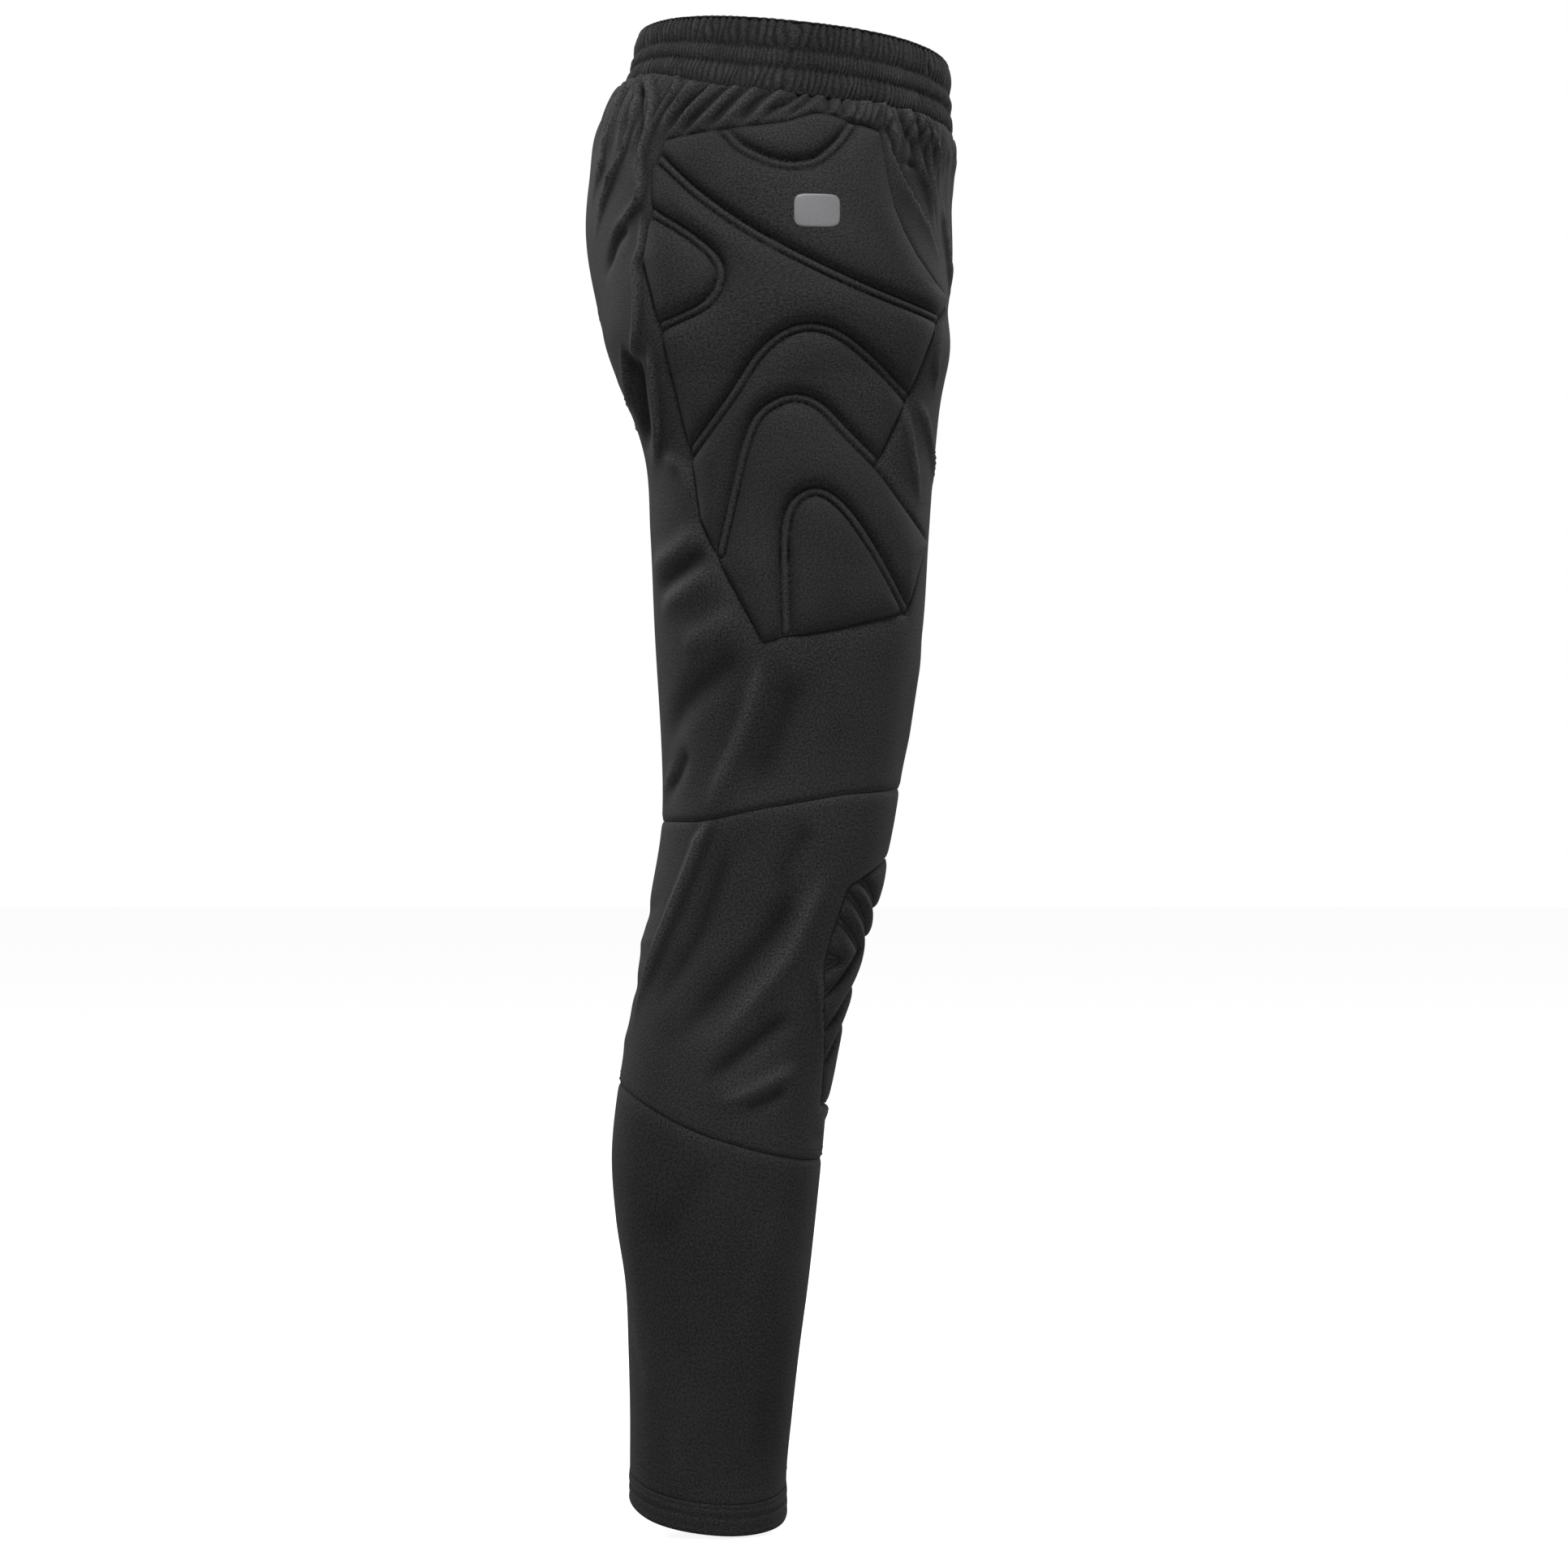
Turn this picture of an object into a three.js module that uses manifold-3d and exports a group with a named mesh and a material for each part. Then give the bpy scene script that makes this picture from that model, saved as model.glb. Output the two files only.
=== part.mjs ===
// Padded goalkeeper trousers, standing open as they are worn.
// Millimetres. +X is the wearer's front, +Y the wearer's left, +Z up.
// The origin is the middle of the waist opening, at the top edge of the waistband.
// The right side is modelled and mirrored for the left.
import * as THREE from "three";
import { mergeVertices } from "three/addons/utils/BufferGeometryUtils.js";
import Module from "manifold-3d";

// ---------------------------------------------------------------- driving dimensions
const FABRIC = 1.2; // knit fabric
const HIP_FOAM = 5; // quilted foam over hip and thigh
const KNEE_FOAM = 7; // quilted foam over the knee
const WAISTBAND = 50; // height of the elastic waistband
const CASING_DEPTH = 6.6; // outer face to inner face of the folded waistband
const SEAM = 0.8; // free strip left between two panels that are sewn edge to edge
const EDGE = 0.0004; // share of the way round left open at the inseam
const QUILT = 3.5; // foam stops this far from the middle of a stitched channel
const WAIST_TILT = 0.1; // the waist is lower in front by this slope
const WAIST_TOP = -11; // pattern height of the waistband's top edge, which is the origin
const WAIST_BOTTOM = WAIST_TOP - WAISTBAND;

// Layers, as distances outwards from the garment's plain outer face.
const PANEL = { outer: 0, inner: -FABRIC };
const COVER = { outer: 2.4, inner: 1.2 };
const HIP_FILL = { outer: -1, inner: -1 - HIP_FOAM };
const HIP_LINING = { outer: -8.2, inner: -9 };
const KNEE_FILL = { outer: -0.5, inner: -0.5 - KNEE_FOAM };
const KNEE_LINING = { outer: -9, inner: -9.8 };

// The seat and hips, from the waist to the crotch: height, back, front, half width.
const TORSO = [
  [10, -108, 107, 149],
  [0, -109, 107, 150],
  [-50, -121, 109, 158],
  [-90, -140, 109, 170],
  [-131, -148, 110, 179],
  [-176, -150, 116, 184],
  [-220, -152, 126, 186],
  [-264, -150, 138, 184],
  [-300, -150, 140, 180],
];
// One leg: height, back, front, middle across, half width across.
const LEG = [
  [10, -120, 100, -90, 80],
  [-110, -135, 104, -90, 84],
  [-180, -150, 114, -90, 88],
  [-215, -142, 114, -90, 88.5],
  [-250, -122, 101, -90, 89],
  [-300, -104, 94.5, -91, 87],
  [-353, -100, 90.5, -92, 84],
  [-420, -97, 86, -93, 81],
  [-509, -92, 73, -93, 75.5],
  [-554, -92.5, 66, -93, 72.5],
  [-598, -99.5, 56, -93, 69],
  [-642, -107, 43.5, -93, 67],
  [-687, -114.5, 31, -93, 65],
  [-731, -122, 22, -93, 62.5],
  [-776, -126.4, 17.5, -93, 60.5],
  [-820, -123.6, 13, -93, 58],
  [-865, -117, 8, -93, 55],
  [-910, -115, 2, -92.5, 52],
  [-954, -114, -3, -92, 49],
  [-998, -114, -7, -92, 47],
  [-1040, -113, -6, -92, 47],
];
const RISE_START = -110; // where the seat begins to divide into legs
const CROTCH = -250; // the crotch row, where it crosses the outer side
const CROTCH_DROP = 35; // the crotch hangs this far below that row
const CROTCH_SPREAD = 80;
const MEDIAL = 0.22; // share of the way round that the drop reaches, from each edge

const clamp = THREE.MathUtils.clamp;
const lerp = THREE.MathUtils.lerp;

// ---------------------------------------------------------------- the garment's outer face
// Smooth value of a column of a station table at a height.
function station(table, column, z) {
  const last = table.length - 1;
  const at = clamp(z, table[last][0], table[0][0]);
  let k = table.findIndex((row) => row[0] <= at);
  k = clamp(k, 1, last);
  const slope = (i) => {
    const a = table[Math.max(i - 1, 0)];
    const b = table[Math.min(i + 1, last)];
    return (b[column] - a[column]) / (b[0] - a[0]);
  };
  const [low, high] = [table[k], table[k - 1]];
  const h = high[0] - low[0];
  const s = (at - low[0]) / h;
  return (
    (2 * s ** 3 - 3 * s ** 2 + 1) * low[column] +
    (s ** 3 - 2 * s ** 2 + s) * h * slope(k) +
    (3 * s ** 2 - 2 * s ** 3) * high[column] +
    (s ** 3 - s ** 2) * h * slope(k - 1)
  );
}

const rounded = (value, power) => Math.sign(value) * Math.abs(value) ** (2 / power);

// A point on the right side's outer face. u runs once round: 0 at the centre-front seam or
// inseam, 0.25 at the front of the leg, 0.5 at the outer side, 0.75 at the back, 1 at the
// centre-back seam or inseam. row is the height where the level crosses the outer side.
function face(u, row) {
  const split = clamp((RISE_START - row) / (RISE_START - CROTCH), 0, 1) ** 3;
  const turn = Math.PI * u;
  const [tb, tf, tw] = [1, 2, 3].map((c) => station(TORSO, c, row));
  const tx = (tb + tf) / 2 + ((tf - tb) / 2) * rounded(Math.cos(turn), 2.4);
  const ty = -tw * rounded(Math.sin(turn), 2.4);
  const round = 2 * Math.PI * (u - 0.25);
  const [lb, lf, ly0, lw] = [1, 2, 3, 4].map((c) => station(LEG, c, row));
  const lx = (lb + lf) / 2 + ((lf - lb) / 2) * rounded(Math.cos(round), 2.15);
  const ly = ly0 - lw * rounded(Math.sin(round), 2.15);
  const x = lerp(tx, lx, split);
  const fromEdge = Math.min(u, 1 - u, MEDIAL);
  const drop = CROTCH_DROP * Math.exp(-(((row - CROTCH) / CROTCH_SPREAD) ** 2));
  const sag = drop * Math.cos((Math.PI * fromEdge) / (2 * MEDIAL)) ** 2;
  const tilt = WAIST_TILT * THREE.MathUtils.smoothstep(row, -220, -60);
  return new THREE.Vector3(x, lerp(ty, ly, split), row - sag - x * tilt);
}

// The outward direction of that face.
function outward(u, row) {
  const du = 0.002;
  const dz = 1.5;
  const along = face(Math.min(u + du, 1), row).sub(face(Math.max(u - du, 0), row));
  const down = face(u, row - dz).sub(face(u, row + dz));
  const n = along.cross(down).normalize();
  if (row > RISE_START && (u < 1e-6 || u > 1 - 1e-6)) n.setY(0).normalize();
  return n;
}

// A point that stands off the outer face by a distance, outwards if positive.
function layered(u, row, off) {
  return face(u, row).addScaledVector(outward(u, row), off);
}

// Turns a point drawn in the side view, [x, z], into [u, row] on the outer side.
function onSide([x, z]) {
  let [low, high, most, least] = [0, 1, -Infinity, Infinity];
  for (let u = 0; u <= 1.0001; u += 0.01) {
    const at = face(Math.min(u, 1), z).x;
    if (u < 0.5 && at > most) [low, most] = [u, at];
    if (u > 0.5 && at < least) [high, least] = [u, at];
  }
  let row = z;
  let u = 0.5;
  for (let pass = 0; pass < 6; pass++) {
    let [a, b] = [low, high];
    for (let k = 0; k < 30; k++) {
      u = (a + b) / 2;
      if (face(u, row).x > x) a = u;
      else b = u;
    }
    row += z - face(u, row).z;
  }
  return [u, row];
}

// ---------------------------------------------------------------- solids
// Makes a geometry from points and triangles, with its faces pointing out.
function solid(points, triangles) {
  let volume = 0;
  for (const [a, b, c] of triangles) {
    volume += points[a].dot(new THREE.Vector3().crossVectors(points[b], points[c]));
  }
  const index = volume < 0 ? triangles.map(([a, b, c]) => [a, c, b]) : triangles;
  const geometry = new THREE.BufferGeometry().setFromPoints(points);
  geometry.setIndex(index.flat());
  geometry.computeVertexNormals();
  return geometry;
}

// A sheet with two skins over a grid of cells, walled wherever a kept cell has no neighbour.
// at(i, j) gives [u, row] at grid corner i, j, and keep(i, j) says which cells are cloth.
function sheet(columns, rows, at, { outer, inner }, keep = () => true) {
  const points = [];
  const triangles = [];
  const ids = new Map();
  const kept = (i, j) => i >= 0 && j >= 0 && i < columns && j < rows && keep(i, j);
  const id = (i, j, skin) => {
    const key = `${i},${j},${skin}`;
    if (!ids.has(key)) {
      ids.set(key, points.length);
      points.push(layered(...at(i, j), skin ? inner : outer));
    }
    return ids.get(key);
  };
  const quad = (a, b, c, d) => triangles.push([a, b, c], [a, c, d]);
  for (let i = 0; i < columns; i++) {
    for (let j = 0; j < rows; j++) {
      if (!kept(i, j)) continue;
      const ring = [[i, j], [i + 1, j], [i + 1, j + 1], [i, j + 1]];
      const beside = [[i, j - 1], [i + 1, j], [i, j + 1], [i - 1, j]];
      quad(...ring.map(([p, q]) => id(p, q, 0)));
      quad(...ring.map(([p, q]) => id(p, q, 1)).reverse());
      ring.forEach(([p, q], k) => {
        if (kept(...beside[k])) return;
        const [r, s] = ring[(k + 1) % 4];
        quad(id(r, s, 0), id(p, q, 0), id(p, q, 1), id(r, s, 1));
      });
    }
  }
  return solid(points, triangles);
}

// A closed outline of [off, row] points carried round stations. at(station, point) gives
// the place. Open runs get end caps.
function swept(outline, stations, at, closed) {
  const n = outline.length;
  const points = stations.flatMap((t) => outline.map((p) => at(t, p)));
  const triangles = [];
  const runs = closed ? stations.length : stations.length - 1;
  for (let k = 0; k < runs; k++) {
    const [here, next] = [k * n, ((k + 1) % stations.length) * n];
    for (let i = 0; i < n; i++) {
      const j = (i + 1) % n;
      triangles.push([here + i, next + i, next + j], [here + i, next + j, here + j]);
    }
  }
  if (!closed) {
    const flat = outline.map(([off, row]) => new THREE.Vector2(off, row));
    const clockwise = THREE.ShapeUtils.isClockWise(flat);
    const end = (stations.length - 1) * n;
    for (const cut of THREE.ShapeUtils.triangulateShape(flat, [])) {
      const [a, b, c] = clockwise ? cut.reverse() : cut;
      triangles.push([a, b, c], [end + c, end + b, end + a]);
    }
  }
  return solid(points, triangles);
}

// ---------------------------------------------------------------- lines drawn on the cloth
const HIP_ROUND = 500; // way round the hip pad's cloth for a whole turn of u

// Cloth coordinates are [millimetres round, row].
const toCloth = (point) => {
  const [u, row] = onSide(point);
  return [u * HIP_ROUND, row];
};
const fromCloth = ([round, row]) => [round / HIP_ROUND, row];

// A line through a few points, smooth or straight, as a function of its share of length.
function line(points, smooth = true) {
  const path = new THREE.CurvePath();
  const at = points.map((p) => new THREE.Vector2(...p));
  if (smooth) path.add(new THREE.SplineCurve(at));
  else at.slice(1).forEach((p, i) => path.add(new THREE.LineCurve(at[i], p)));
  return (share) => path.getPointAt(clamp(share, 0, 1)).toArray();
}

// The same for points drawn in the side view, on the cloth.
const drawn = (points, smooth) => line(points.map(toCloth), smooth);

// A patch of cloth between four lines: top and bottom run one way, left and right down it.
function patch(top, bottom, left, right) {
  return (s, t) =>
    [0, 1].map(
      (k) =>
        (1 - t) * top(s)[k] + t * bottom(s)[k] + (1 - s) * left(t)[k] + s * right(t)[k] -
        (1 - s) * (1 - t) * top(0)[k] - s * (1 - t) * top(1)[k] -
        (1 - s) * t * bottom(0)[k] - s * t * bottom(1)[k],
    );
}

// A foam block that fills a patch up to QUILT from its edges. place turns the patch's own
// coordinates into [u, row].
function block(shape, columns, rows, layer, place) {
  const reach = (a, b) => Math.hypot(a[0] - b[0], a[1] - b[1]);
  const across = QUILT / reach(shape(0, 0.5), shape(1, 0.5));
  const down = QUILT / reach(shape(0.5, 0), shape(0.5, 1));
  const at = (i, j) =>
    place(shape(lerp(across, 1 - across, i / columns), lerp(down, 1 - down, j / rows)));
  return sheet(columns, rows, at, layer);
}

// ---------------------------------------------------------------- assembly
const garment = new THREE.Group();
const standing = new THREE.Group(); // moves pattern heights so that the waist is the origin
const right = new THREE.Group();
const left = new THREE.Group();
standing.position.z = -WAIST_TOP;
left.scale.y = -1;
garment.add(standing);
standing.add(right, left);

const knit = { color: 0x2b292b, roughness: 0.92, metalness: 0 };
const lining = { color: 0x232324, roughness: 0.95, metalness: 0 };
const foam = { color: 0x8c8f94, roughness: 1, metalness: 0 };
const elastic = { color: 0xd8d6d0, roughness: 0.8, metalness: 0 };
const stretchKnit = { color: 0x262427, roughness: 0.9, metalness: 0 };
const reflective = { color: 0x747476, roughness: 0.45, metalness: 0.1 };
const gunmetal = { color: 0x55565a, roughness: 0.4, metalness: 0.9 };

function addBoth(name, geometry, look) {
  for (const [side, group] of [["right", right], ["left", left]]) {
    const mesh = new THREE.Mesh(geometry, new THREE.MeshStandardMaterial(look));
    mesh.name = `${side}_${name}`;
    group.add(mesh);
  }
}

function addMiddle(name, geometry, look) {
  const mesh = new THREE.Mesh(geometry, new THREE.MeshStandardMaterial(look));
  mesh.name = name;
  standing.add(mesh);
  return mesh;
}

// ---------------------------------------------------------------- waistband
// t runs once round the waist: 0 at the centre front, positive to the wearer's left.
function aroundWaist(t, [off, row]) {
  const u = Math.min(2 * Math.abs(t), 1);
  const at = layered(u, row, off);
  return new THREE.Vector3(at.x, t > 0 ? -at.y : at.y, at.z);
}

function spaced(from, to, count) {
  return Array.from({ length: count + 1 }, (_, k) => lerp(from, to, k / count));
}

const SIDE_SEAM = 0.25;
const SIDE_GAP = 0.0009; // half the gap left at a side seam
const BEVEL = 1.5; // the folded top edge is rounded off by this much
const INNER_WALL = -CASING_DEPTH + FABRIC;
const CASING_ROOF = WAIST_TOP - 2.5;
// The band's walls, down through the levels of its two rows of stitching.
const TIERS = [WAIST_TOP - 21, WAIST_TOP - 34];
const wallDown = (off) => TIERS.map((row) => [off, row]);
const wallUp = (off) => wallDown(off).reverse();
const CASING = [
  [0, WAIST_BOTTOM], ...wallUp(0), [0, WAIST_TOP - BEVEL], [-BEVEL, WAIST_TOP],
  [BEVEL - CASING_DEPTH, WAIST_TOP], [-CASING_DEPTH, WAIST_TOP - BEVEL],
  ...wallDown(-CASING_DEPTH), [-CASING_DEPTH, WAIST_BOTTOM], [INNER_WALL, WAIST_BOTTOM],
  ...wallUp(INNER_WALL), [INNER_WALL, CASING_ROOF], [-FABRIC, CASING_ROOF],
  ...wallDown(-FABRIC), [-FABRIC, WAIST_BOTTOM],
];
// The three elastics, one in each tier of the band: top and bottom, down from its top edge.
const ELASTICS = { upper: [3.5, 19.5], middle: [22.5, 32.5], lower: [35.5, 48.5] };
const ELASTIC_LAYER = { outer: -2, inner: -4.2 };
const EYELET_ROW = WAIST_TOP - 27.5; // the middle tier, where a drawcord would run
const EYELET_T = 0.022; // each side of the centre front
const EYELET_HOLE = 4.4;
const DRILL = { centre: -6, length: 3 };
// An eyelet's section: [radius, distance outwards from the waistband's outer face].
const EYELET = [
  [3, -8.2], [6.5, -8.2], [6.5, -7.4], [4, -7.4], [4, -4.9], [3, -4.9], [3, -8.2],
];

const wasm = await Module();
wasm.setup();

function toManifold(geometry) {
  const bare = geometry.clone();
  bare.deleteAttribute("normal");
  bare.deleteAttribute("uv");
  const merged = mergeVertices(bare, 1e-4);
  return new wasm.Manifold(
    new wasm.Mesh({
      numProp: 3,
      vertProperties: new Float32Array(merged.attributes.position.array),
      triVerts: new Uint32Array(merged.index.array),
    }),
  );
}

function fromManifold(made) {
  const mesh = made.getMesh();
  const geometry = new THREE.BufferGeometry();
  geometry.setAttribute("position", new THREE.BufferAttribute(mesh.vertProperties, 3));
  geometry.setIndex(new THREE.BufferAttribute(mesh.triVerts, 1));
  geometry.computeVertexNormals();
  return geometry;
}

// Where a drawcord eyelet sits: its place on the outer face, and the way it points.
function eyeletSeat(side) {
  const at = aroundWaist(side * EYELET_T, [0, EYELET_ROW]);
  const out = aroundWaist(side * EYELET_T, [1, EYELET_ROW]).sub(at).normalize();
  return { at, turn: new THREE.Quaternion().setFromUnitVectors(new THREE.Vector3(0, 1, 0), out) };
}

function waistband() {
  const front = [-SIDE_SEAM + SIDE_GAP, ...spaced(-0.225, 0.225, 18), SIDE_SEAM - SIDE_GAP];
  const back = front.map((t) => t + 0.5);
  const wrap = (t) => (t > 0.5 ? t - 1 : t);
  const turn = (t, p) => aroundWaist(wrap(t), p);
  let casing = toManifold(swept(CASING, front, turn, false));
  for (const side of [-1, 1]) {
    const seat = eyeletSeat(side);
    const drill = new THREE.CylinderGeometry(EYELET_HOLE, EYELET_HOLE, DRILL.length, 16);
    drill.translate(0, DRILL.centre, 0).applyQuaternion(seat.turn);
    drill.translate(...seat.at.toArray());
    casing = casing.subtract(toManifold(drill));
    const ring = new THREE.LatheGeometry(EYELET.map((p) => new THREE.Vector2(...p)), 16);
    const name = side < 0 ? "right_drawcord_eyelet" : "left_drawcord_eyelet";
    const mesh = addMiddle(name, ring, gunmetal);
    mesh.quaternion.copy(seat.turn);
    mesh.position.copy(seat.at);
  }
  addMiddle("waistband_casing_front", fromManifold(casing), knit);
  addMiddle("waistband_casing_back", swept(CASING, back, turn, false), knit);

  const ring = spaced(0, 1, 40).slice(0, -1);
  const { outer, inner } = ELASTIC_LAYER;
  for (const [tier, depths] of Object.entries(ELASTICS)) {
    const [top, bottom] = depths.map((depth) => WAIST_TOP - depth);
    const strip = [[outer, top], [inner, top], [inner, bottom], [outer, bottom]];
    addMiddle(`waist_elastic_${tier}`, swept(strip, ring, turn, true), elastic);
  }
}

// ---------------------------------------------------------------- hip and thigh
// Outline of the quilted hip pad in the side view: x forward, z up.
const PAD_TOP = drawn([[-88, -91], [-50, -86], [-12, -82], [15, -75], [37, -80], [56, -85]]);
const PAD_FRONT = drawn(
  [[56, -85], [70, -124], [87, -164], [102, -183], [101, -199], [95, -214], [75, -265],
   [53, -312], [88, -358], [75, -408]],
  false,
);
const PAD_REAR = drawn(
  [[-88, -91], [-98, -112], [-98, -138], [-104, -173], [-92, -221], [-79, -273],
   [-72, -301], [-65, -347], [-53, -374], [-23, -429]],
  false,
);
const PAD_BOTTOM = drawn([[-23, -429], [26, -420], [75, -408]]);

// Middle lines of the stitched channels, in the same view.
const LENS = [[-48, -89], [-36, -101], [-12, -111], [10, -110], [26, -98], [37, -83]];
const DIAGONAL = [[-92, -105], [-66, -131], [-33, -155], [10, -178], [53, -196], [98, -210]];
const REAR_BAY = [[-97, -141], [-71, -159], [-55, -174], [-51, -189], [-61, -205], [-91, -218]];
const OUTER_ARCH = [
  [-70, -301], [-44, -267], [-26, -240], [-9, -225], [9, -220], [28, -225], [51, -242], [75, -265],
];
const MIDDLE_ARCH = [
  [-51, -369], [-42, -331], [-34, -299], [-25, -279], [-11, -269], [2, -267], [16, -273],
  [34, -291], [55, -311],
];
const INNER_ARCH = [
  [-7, -426], [-8, -391], [-8, -358], [-4, -341], [5, -331], [18, -330], [34, -343],
  [53, -370], [74, -407],
];

const PAD_COLUMNS = 13;
const PAD_ROWS = 16;
const BESIDE = 6; // columns of cloth on each side of the pad
// The seam above the knee, as a row for each u.
const KNEE_SEAM_TOP = (u) => -538 + 11 * Math.cos(2 * Math.PI * (u - 0.25));

function hipPad() {
  const outline = patch(PAD_TOP, PAD_BOTTOM, PAD_REAR, PAD_FRONT);
  const at = (i, j) => fromCloth(outline(1 - i / PAD_COLUMNS, j / PAD_ROWS));
  addBoth("hip_pad_cover", sheet(PAD_COLUMNS, PAD_ROWS, at, COVER), knit);
  addBoth("hip_pad_lining", sheet(PAD_COLUMNS, PAD_ROWS, at, HIP_LINING), lining);
  legPanel(at);
  hipFoams();
}

// The one-piece leg panel, from waistband to knee seam, with a window for the hip pad.
function legPanel(pad) {
  const rowsAbove = 2;
  const rowsBelow = 4;
  const rows = rowsAbove + PAD_ROWS + rowsBelow;
  const columns = BESIDE + PAD_COLUMNS + BESIDE;
  const top = WAIST_BOTTOM - SEAM;
  const at = (i, j) => {
    const column = clamp(i - BESIDE, 0, PAD_COLUMNS);
    const padRow = clamp(j - rowsAbove, 0, PAD_ROWS);
    const [edgeU, padZ] = pad(column, padRow);
    let u = edgeU;
    if (i < BESIDE) u = lerp(EDGE, edgeU, i / BESIDE);
    if (i > BESIDE + PAD_COLUMNS) {
      u = lerp(edgeU, 1 - EDGE, (i - BESIDE - PAD_COLUMNS) / BESIDE);
    }
    let row = padZ;
    if (i < BESIDE) row = lerp(padRowLevel(padRow), padZ, i / BESIDE);
    if (j < rowsAbove) row = lerp(top, row, j / rowsAbove);
    const below = j - rowsAbove - PAD_ROWS;
    if (below > 0) row = lerp(row, KNEE_SEAM_TOP(u) + SEAM / 2, below / rowsBelow);
    return [u, row];
  };
  const window = (i, j) =>
    i >= BESIDE && i < BESIDE + PAD_COLUMNS && j >= rowsAbove && j < rowsAbove + PAD_ROWS;
  addBoth("leg_panel", sheet(columns, rows, at, PANEL, (i, j) => !window(i, j)), knit);
}

// Level of a pad row at the centre front, where the rows run straight down the seam.
const padRowLevel = (row) => lerp(-85, -415, row / PAD_ROWS);

function hipFoams() {
  const add = (name, [top, bottom, rear, front], columns, rows) => {
    const shape = patch(drawn(top), drawn(bottom), drawn(rear, false), drawn(front, false));
    addBoth(`hip_foam_${name}`, block(shape, columns, rows, HIP_FILL, fromCloth), foam);
  };
  add("top", [
    [[-44, -87], [-12, -82], [15, -76], [34, -80]], LENS,
    [[-44, -87], [-48, -89]], [[34, -80], [37, -83]],
  ], 5, 2);
  add("upper", [
    [[-86, -92], [-54, -87], ...LENS.slice(1, -1), [41, -82], [55, -86]], DIAGONAL,
    [[-86, -92], [-92, -105]], [[55, -86], [70, -124], [87, -164], [98, -210]],
  ], 10, 5);
  add("rear", [
    [[-97, -146], [-90, -147], [-71, -159], [-57, -174], [-52, -189]],
    [[-92, -214], [-80, -212], [-66, -206], [-58, -198], [-52, -189]],
    [[-97, -146], [-104, -173], [-92, -214]], [[-52, -189], [-52, -190]],
  ], 4, 4);
  add("middle", [
    DIAGONAL.slice(1), [[-62, -290], ...OUTER_ARCH.slice(1)],
    [[-66, -131], [-46, -166], [-43, -192], [-56, -236], [-62, -290]],
    [[98, -210], [86, -238], [75, -265]],
  ], 10, 6);
  add("outer_arch", [
    OUTER_ARCH, MIDDLE_ARCH,
    [[-70, -301], [-65, -345], [-51, -369]], [[75, -265], [55, -311]],
  ], 12, 3);
  add("middle_arch", [
    [...MIDDLE_ARCH, [86, -358]], INNER_ARCH,
    [[-51, -369], [-24, -425], [-7, -426]], [[86, -358], [81, -384], [74, -407]],
  ], 12, 4);
  add("inner_arch", [
    INNER_ARCH.slice(2, 7), [[-7, -426], [30, -419], [72, -408]],
    [[-8, -358], [-8, -391], [-7, -426]], INNER_ARCH.slice(6, 9),
  ], 5, 4);
}

// A plain rounded patch of reflective film, on the pad above the diagonal channel.
const FILM = { x: 12, z: -144, halfWidth: 14.5, halfHeight: 11, bow: 4 };
const FILM_LAYER = { outer: 3.3, inner: 2.8 };

function reflectivePatch() {
  const { x, z, halfWidth, halfHeight, bow } = FILM;
  const end = (side) => drawn([
    [x + side * (halfWidth - bow), z + halfHeight], [x + side * halfWidth, z],
    [x + side * (halfWidth - bow), z - halfHeight],
  ]);
  const edge = (side) => drawn([
    [x - halfWidth + bow, z + side * halfHeight], [x + halfWidth - bow, z + side * halfHeight],
  ]);
  const shape = patch(edge(1), edge(-1), end(-1), end(1));
  const at = (i, j) => fromCloth(shape(i / 4, j / 4));
  addBoth("reflective_patch", sheet(4, 4, at, FILM_LAYER), reflective);
}

// The flat pocket bag that hangs behind the front of the pad.
const POCKET_LAYER = { outer: -11.2, inner: -12.6 };

function pocketBag() {
  const shape = patch(drawn([[60, -110], [84, -152]]), drawn([[20, -236], [62, -240]]),
    drawn([[60, -110], [34, -170], [20, -236]]), drawn([[84, -152], [80, -200], [62, -240]]));
  const at = (i, j) => fromCloth(shape(i / 5, j / 6));
  addBoth("pocket_bag", sheet(5, 6, at, POCKET_LAYER), lining);
}

// ---------------------------------------------------------------- knee
const KNEE_ROUND = 450; // way round the knee, which turns offsets into shares of it
const KNEE_COLUMNS = 6;
const KNEE_ROWS = 8;
// The seam below the knee, in the same way.
const KNEE_SEAM_BOTTOM = (u) => {
  const turn = 2 * Math.PI * (u - 0.25);
  return -757.5 - 26 * Math.cos(turn) + 4.5 * Math.cos(2 * turn);
};
// Half width of the knee pad down its length: height, half width.
const KNEE_WIDTH = [
  [-570, 50], [-597, 57], [-640, 60], [-668, 53], [-690, 43], [-712, 32], [-735, 24], [-785, 20],
];
const KNEE_TOP_HALF = 55; // half width of the pad's curved top edge
const kneeTop = (w) => -574 - 18 * Math.abs(w / KNEE_TOP_HALF) ** 1.5;

// Turns [offset from the knee's front line, z] into [u, row]. Offsets grow outwards.
const onKnee = ([offset, z]) => [0.25 + offset / KNEE_ROUND, z];

function kneeLayers() {
  const corner = (i, j) => {
    const share = (2 * i) / KNEE_COLUMNS - 1;
    const topZ = kneeTop(share * KNEE_TOP_HALF);
    const bottomZ = KNEE_SEAM_BOTTOM(0.25) + SEAM / 2;
    const z = lerp(topZ, bottomZ, j / KNEE_ROWS);
    return onKnee([share * station(KNEE_WIDTH, 1, z), z]);
  };
  addBoth("knee_pad_cover", sheet(KNEE_COLUMNS, KNEE_ROWS, corner, COVER), knit);
  addBoth("knee_pad_lining", sheet(KNEE_COLUMNS, KNEE_ROWS, corner, KNEE_LINING), lining);
  kneePanel(corner);
}

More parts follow.
